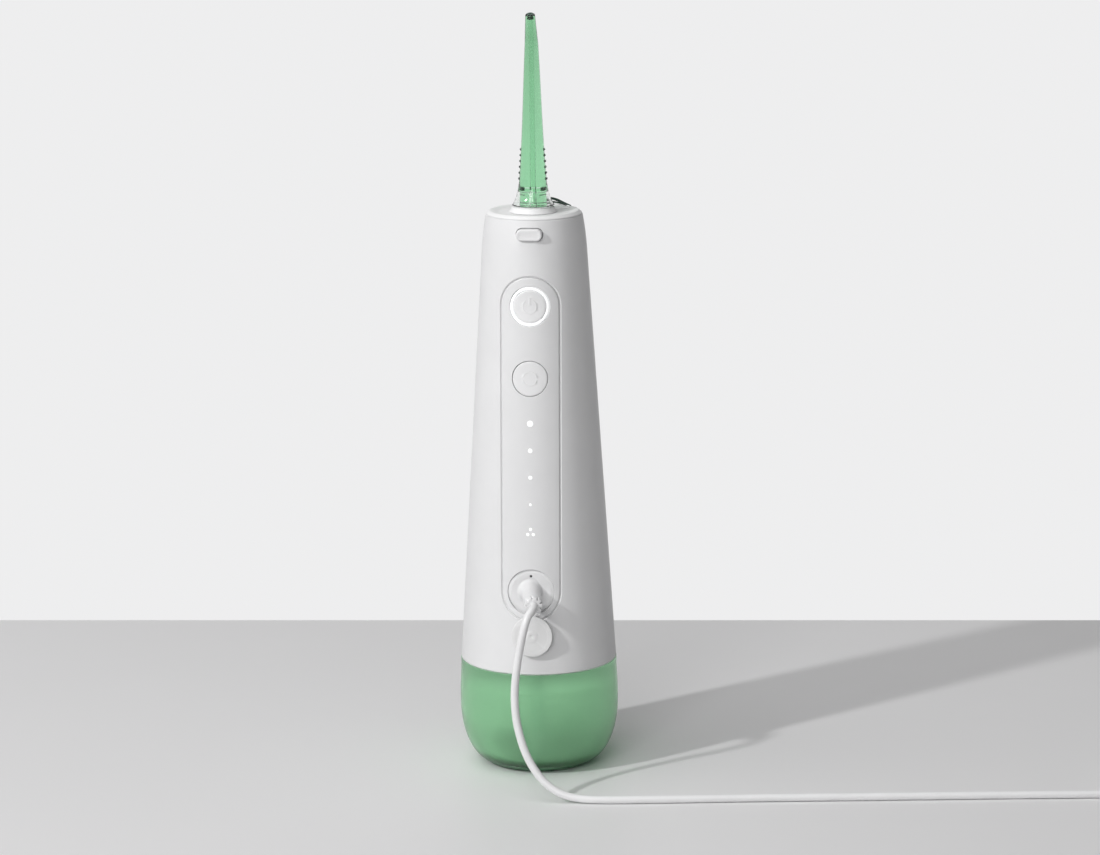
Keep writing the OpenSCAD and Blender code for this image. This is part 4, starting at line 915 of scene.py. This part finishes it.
# The dial wears the lighter white all over, painted light from overhead
mesh_piece("nozzle_dial_ring", dial, "dial", "housing_white", "nozzle_dial",
           also=[("painted_light_white", everywhere)])

# ---- Nozzle

FOOT = DIAL_TOP + 0.05
BEND = FOOT + 60.4
TIP_L, TIP_TURN, BEND_R = 12.0, math.radians(18), 9.0
ARC_START, ARC = BEND - BEND_R * math.tan(TIP_TURN / 2), BEND_R * TIP_TURN
TIP_END = ARC_START + ARC + TIP_L - BEND_R * math.tan(TIP_TURN / 2)
FLARE_H, FLARE_R, TIP_R, END_R = 9.2, 5.2, 2.55, 1.8
RIB_Z, RIB_PITCH, RIB_DEPTH = FOOT + 9.6, 2.2, 0.42
SPIGOT_R, SEAL_R, CHANNEL = 3.6, 2.0, 0.9


def stem_ring(s, r, n=96, ribs=False):
    """A ring about the nozzle's axis at a height s measured along it, through its bend."""
    a = min(max(s - ARC_START, 0) / BEND_R, TIP_TURN)
    d = V(0, -math.sin(a), math.cos(a))
    p = V(0, AXIS_Y - BEND_R * (1 - math.cos(a)), min(s, ARC_START) + BEND_R * math.sin(a))
    p += d * max(0.0, s - ARC_START - ARC)
    y = unit(np.cross(d, X))
    ring = []
    for c, w in spokes(n):
        q = r
        if ribs:
            u = (s - RIB_Z) % RIB_PITCH
            q += RIB_DEPTH * ease((abs(c) - 0.94) / 0.04) * ease(u / 0.3) * ease((1.05 - u) / 0.3)
        ring.append(p + q * (c * X + w * y))
    return ring


def stem_r(s):
    t = (s - FOOT - FLARE_H) / (BEND - FOOT - FLARE_H)
    return FLARE_R + (TIP_R - FLARE_R) * (
        t + 0.14 * math.sin(math.pi * min(1, max(0, t))) * (1 - t))


spigot_z = box_mm("nozzle")[0][2]
up = lambda z0, points: [(r, z0 + z, *corner) for r, z, *corner in points]
below = rounded(up(spigot_z, [
    (CHANNEL, 0, 0.1), (SPIGOT_R - 0.3, 0), (SPIGOT_R, 0.4, 0.2), (SPIGOT_R, 2.15, 0.1),
    (SEAL_R, 2.2), (SEAL_R, 3.8), (SPIGOT_R, 3.85, 0.1)]) + [(SPIGOT_R, FOOT)], 3)[1:]
core = rounded(up(FOOT, [
    (SPIGOT_R, 0), (4.9, 0, 0.05), (5.15, 0.2, 0.1), (5.0, 5.5, 0.15), (5.35, 5.3, 0.1),
    (5.75, 3.2, 0.4), (6.5, 1.3, 0.4), (7.3, 0.25, 0.5), (7.55, 0.12, 0.1), (8.0, 0.12, 0.1),
    (7.85, 0.45, 0.2)]), 4)[1:]
flare = smooth_path(up(FOOT, [(7.85, 0.45), (7.2, 1.5), (6.6, 2.7), (6.05, 4.6), (5.6, 6.6),
                              (FLARE_R, FLARE_H)]), 5)[1:]
nozzle = Shape()
rings = [stem_ring(z, r) for r, z in [*below, *core, *flare]]
s = FOOT + 9.4
while s < BEND:
    near_ribs = s < RIB_Z + 13.2
    rings.append(stem_ring(s, stem_r(s), ribs=near_ribs and s > RIB_Z))
    s += 0.15 if near_ribs else 1.2
for t in (k / 36 for k in range(37)):
    s = BEND + (TIP_END - BEND - 0.3) * t
    rings.append(stem_ring(s, TIP_R + (END_R - TIP_R) * (s - BEND) / (TIP_END - BEND)))
rings += [stem_ring(TIP_END - d, r)
          for d, r in ((0.1, 1.72), (0, 1.5), (0, 1.27), (1.6, 1.27), (1.62, CHANNEL))]
stem_line = np.array([mid(ring) for ring in rings])
rings += [stem_ring(s, CHANNEL) for s in (
    *(TIP_END - 2.4 - k * (TIP_END - BEND - 1.5) / 7 * 1.3 for k in range(8)),
    BEND - 8, FOOT, spigot_z)]
nozzle.stack(rings, closed=True)
in_bore = lambda p: np.linalg.norm(stem_line - p, axis=1).min() < CHANNEL + 0.75
in_skirt = lambda p: math.hypot(p[0], p[1] - AXIS_Y) > 5.17 and p[2] < FOOT + 5.9
mesh_piece("nozzle_stem", nozzle, "nozzle", "nozzle_clear", "nozzle", sharp=40,
           also=[("nozzle_bore", in_bore), ("nozzle_inside", in_skirt)])

# The thumb tab: a curved blade that runs from the flare out over the cap
TAB_TURN = math.radians(45)
tab_top = smooth_path([(6.3, FOOT + 2.5), (8.0, FOOT + 2.35), (10.5, FOOT + 1.5),
                       (13.4, FOOT + 0.1), (15.8, FOOT - 1.0), (17.4, CAP_Z + 2.1)], 5)
tab_low = smooth_path([(6.3, FOOT + 0.5), (8.0, FOOT + 0.3), (10.2, FOOT - 0.1),
                       (12.8, FOOT - 0.9), (15.2, CAP_Z + 1.8), (17.2, CAP_Z + 1.65)], 5)
tab_w = lambda i: 2.0 - 0.5 * ease((i - 18) / 8)


def on_tab(i, u, v):
    """A point of the tab at station i, u across it, and v from -1 at its foot to 1 at its top."""
    r, z = (tab_top[i] + tab_low[i]) / 2 + v * (tab_top[i] - tab_low[i]) / 2
    return (r * math.cos(TAB_TURN) - u * math.sin(TAB_TURN),
            AXIS_Y + r * math.sin(TAB_TURN) + u * math.cos(TAB_TURN), z)


tab = Shape()
tab.loft([[on_tab(i, u, v) for u, v in round_box(tab_w(i), 1, 0.35)]
          for i in range(len(tab_top))])
mesh_piece("nozzle_tab", tab, "nozzle", "nozzle_clear", sharp=50,
           also=[("nozzle_inside", everywhere)])

# Dark strips on the tab's sides, painted dark refraction where the clear blade shows dark, and the
# dark lugs inside the foot
refraction_strips_and_lugs = Shape()
for side in (-1, 1):
    # The strips along the tab paint dark refraction on the clear blade
    for low, high, last in ((0.12, 1.0, 0.92), (-1.0, -0.38, 0.62)):
        refraction_strips_and_lugs.loft([[on_tab(i, side * (tab_w(i) + out), v) for out, v in
                     ((0.05, high), (0.05, low), (-0.7, low), (-0.7, high))]
                    for i in range(2, int(last * len(tab_top)))])
    for half, r0, r1, z0, z1 in ((0.4, 2.4, 3.5, 5.4, 6.7), (0.95, 4.3, 4.75, 4.1, 4.4)):
        refraction_strips_and_lugs.loft([[(side * r * math.cos(a), AXIS_Y + side * r * math.sin(a), FOOT + z)
                     for r, z in ((r0, z0), (r1, z0), (r1, z1), (r0, z1))]
                    for a in np.linspace(-half, half, 13)])
mesh_piece("nozzle_tab_refraction_strips_and_lugs", refraction_strips_and_lugs, "nozzle", "jet_insert", sharp=30)

# ---- Tank

BELLY_Z, FOOT_R, TANK_WALL, TANK_FLOOR = 25.0, 17.0, 2.2, 2.6
TANK_R = SEAM_R + 0.6
BORE_WALL = TANK_R - TANK_WALL
COLLAR_R, COLLAR_BORE = 27.0, 25.0
tank_top = box_mm("tank_shell")[1][2]


def belly(foot, r, low):
    """The rounded quarter from the foot's edge up to the widest ring."""
    return [(foot + (r - foot) * math.sin(a) ** 0.92,
             BELLY_Z - (BELLY_Z - low) * math.cos(a) ** 0.92)
            for a in np.linspace(0, math.pi / 2, 26)]


outside = belly(FOOT_R, TANK_R, 0) + [
    (TANK_R - 0.5 * ease(t) ** 1.2, BELLY_Z + (SEAM_Z - 0.45 - BELLY_Z) * t)
    for t in np.linspace(0.1, 1, 9)]
collar = rounded([outside[-1], (SEAM_R + 0.1, SEAM_Z, 0.35), (COLLAR_R, SEAM_Z, 0.15),
                  (COLLAR_R, tank_top, 0.4), (COLLAR_BORE, tank_top, 0.4),
                  (COLLAR_BORE, SEAM_Z - 3, 1.5), (BORE_WALL, SEAM_Z - 7.5, 3),
                  (BORE_WALL, BELLY_Z + 3)], 6)[1:]
tank = Shape()
tank.turned([(0, 0.35), (12.5, 0.35), (13.2, 0.2), (13.6, 0), *outside, *collar,
             *belly(FOOT_R - 1, BORE_WALL, TANK_FLOOR)[::-1], (0, TANK_FLOOR)], n=160)


def tank_inside(p):
    wall = np.interp(p[2], *zip(*((z, r) for r, z in outside)))
    return p[2] > TANK_FLOOR - 0.1 and math.hypot(p[0], p[1]) < wall - 0.9


# The lowest 2.2 mm of the tank wear the painted contact shade
mesh_piece("tank_body", tank, "tank", "tank", "tank_shell", sharp=40,
           also=[("tank_inside", tank_inside), ("tank_foot", lambda p: p[2] < 2.2)])

# ---- The plug, its lamp and its strain relief

PLUG_END = box_mm("charge_plug")[1][1]
PLUG_R, PLUG_FACE, PLUG_RIM, BARREL_R = 8.72, -26.42, -25.95, 4.6
LAMP_R, LAMP_Z = 0.5, PORT_Z + 6.1
PIN_X, PIN_HOLE_R, PIN_HOLE_L = 2.0, 0.95, 5.3
plug = Shape()
ids = plug.turned(rounded(
    [(PLUG_R - 1.6, PLUG_FACE), (PLUG_R - 1.2, PLUG_FACE, 0.5),
     (PLUG_R - 0.35, PLUG_FACE + 0.24, 0.2), (PLUG_R, PLUG_RIM - 0.05, 0.04),
     (PLUG_R, PLUG_RIM, 0.03), (BARREL_R, PLUG_RIM, 0.2), (BARREL_R, PLUG_END, 0.5),
     (BARREL_R - 0.7, PLUG_END)], 6), lambda x, z, y: (x, y, PORT_Z + z))
for outer, y, deep, holes in (
        (ids[0], PLUG_FACE, 0.5, [(0, LAMP_Z, LAMP_R, 20)]),
        (ids[-1], PLUG_END, -PIN_HOLE_L, [(s * PIN_X, PORT_Z, PIN_HOLE_R, 24) for s in (-1, 1)])):
    openings = []
    for x0, z0, r, n in holes:
        flat = [(x0 + r * c, z0 + r * s) for c, s in spokes(n)]
        mouth, bottom = (plug.ring([(x, y + d, z) for x, z in flat]) for d in (0, deep))
        plug.strip(mouth, bottom)
        plug.fan(bottom, (x0, y + deep, z0))
        openings.append((flat, mouth))
    fill_flat(plug, plug.flat(outer), openings, lambda x, z: (x, y, z), spacing=1.2)
mesh_piece("charge_plug_body", plug, "lead", "plug_white", "charge_plug", sharp=45)

lens = Shape()
lens.turned([(0, 0.15), (0.96 * LAMP_R, 0.15), (0.96 * LAMP_R, 0.45), (0, 0.45)],
            lambda x, z, h: (x, PLUG_FACE + h, LAMP_Z + z), n=20)
mesh_piece("charge_lamp_lens", lens, "lead", "black_plastic")

RELIEF_SLOTS, SLOT_DEPTH = 9, 0.85
relief_l = np.linalg.norm(relief_to - relief_from)
relief_axis = (relief_to - relief_from) / relief_l
across = unit(np.cross(relief_axis, V(0, 0, 1)))
over = np.cross(across, relief_axis)
sections = [(-1.13, 5.3), (-1.05, 4.95), (-0.85, 4.7), (-0.35, 4.35), (0.5, 4.05), (2.0, 3.82),
            (4.5, 3.65), (8.0, 3.5)]
sections += [(relief_l - d, r) for d, r in (
    (3.0, 3.42), (2.2, 3.4), (1.8, 3.4), (1.0, 3.38), (0.3, 3.35), (0.1, 3.25), (0, 3.0),
    (0, 1.95))]


def relief_r(s, r, a):
    """The radius r at s along the relief, less the slots cut in its end at the angles a."""
    slot = ease((math.cos(RELIEF_SLOTS * a) - 0.35) / 0.25)
    return r - (SLOT_DEPTH * ease((s - relief_l + 2.2) / 0.5) * slot if r > 2.5 else 0)


relief = Shape()
relief.stack([[relief_from + relief_axis * s
               + relief_r(s, r, a) * (math.cos(a) * across + math.sin(a) * over)
               for a in (TAU * k / 140 for k in range(140))] for s, r in sections],
             relief_from + relief_axis * sections[0][0], relief_to)
mesh_piece("strain_relief", relief, "lead", "plug_white", "plug_relief", sharp=50)

# ---- Port cover, its strap and the strap's anchor

COVER_R = PORT_R - 0.35
DISC_R = COVER_R - 0.65
base = on_shell(0, PORT_Z - PORT_R + SEAT - COVER_R) + V(0.5, 0, 0.55)
on_cover = lambda u, w, h: base + FACE * h + X * u + RISE * w
cover = Shape()
cover.turned(rounded([(0, 0.6), (DISC_R - 0.25, 0.6, 0.1), (DISC_R, 0.75, 0.1),
                      (DISC_R, 2.1, 0.3), (DISC_R - 1.5, 2.1, 0.2), (DISC_R - 1.9, 2.03, 0.2),
                      (2.6, 2.03, 0.2), (1.9, 2.15, 0.3), (1.6, 2.2, 0.2), (0.75, 2.2, 0.1),
                      (0.6, 2.05, 0.1), (0, 2.05)], 5), on_cover)
cover.loft([[on_cover(u - 0.5, DISC_R + w, h + v) for u, v in round_box(2.2, 0.42, 0.3)]
            for w, h in ((-1.2, 1.35), (-0.2, 1.5), (0.2, 1.1), (0.35, 0.75))])
mesh_piece("port_cover_disc", cover, "cover", "cover_rubber", "port_cover", sharp=50)

low, high, middle, half = box_mm("cover_anchor")
anchor = Shape()
anchor.loft(boxes_y(middle, [
    (y, half[0] - inset, half[2] - inset, 0.25) for y, inset in
    ((low[1], 0.3), (low[1] + 0.12, 0.1), (low[1] + 0.35, 0), (high[1] - 0.1, 0),
     (high[1], 0.1))]))
mesh_piece("cover_anchor_strap", anchor, "handle", "cover_rubber", "cover_anchor", sharp=50)

# ---- Inner nodes keep their CAD shape and get a finish

for row in frame["record"]["subparts"]:
    node = frame["nodes"][row["node"]]
    node.data.materials.clear()
    node.data.materials.append(mats[row["material_slot"]])

low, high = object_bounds()
{"cad": [list(cad_box[0]), list(cad_box[1])], "visual": [list(low), list(high)]}
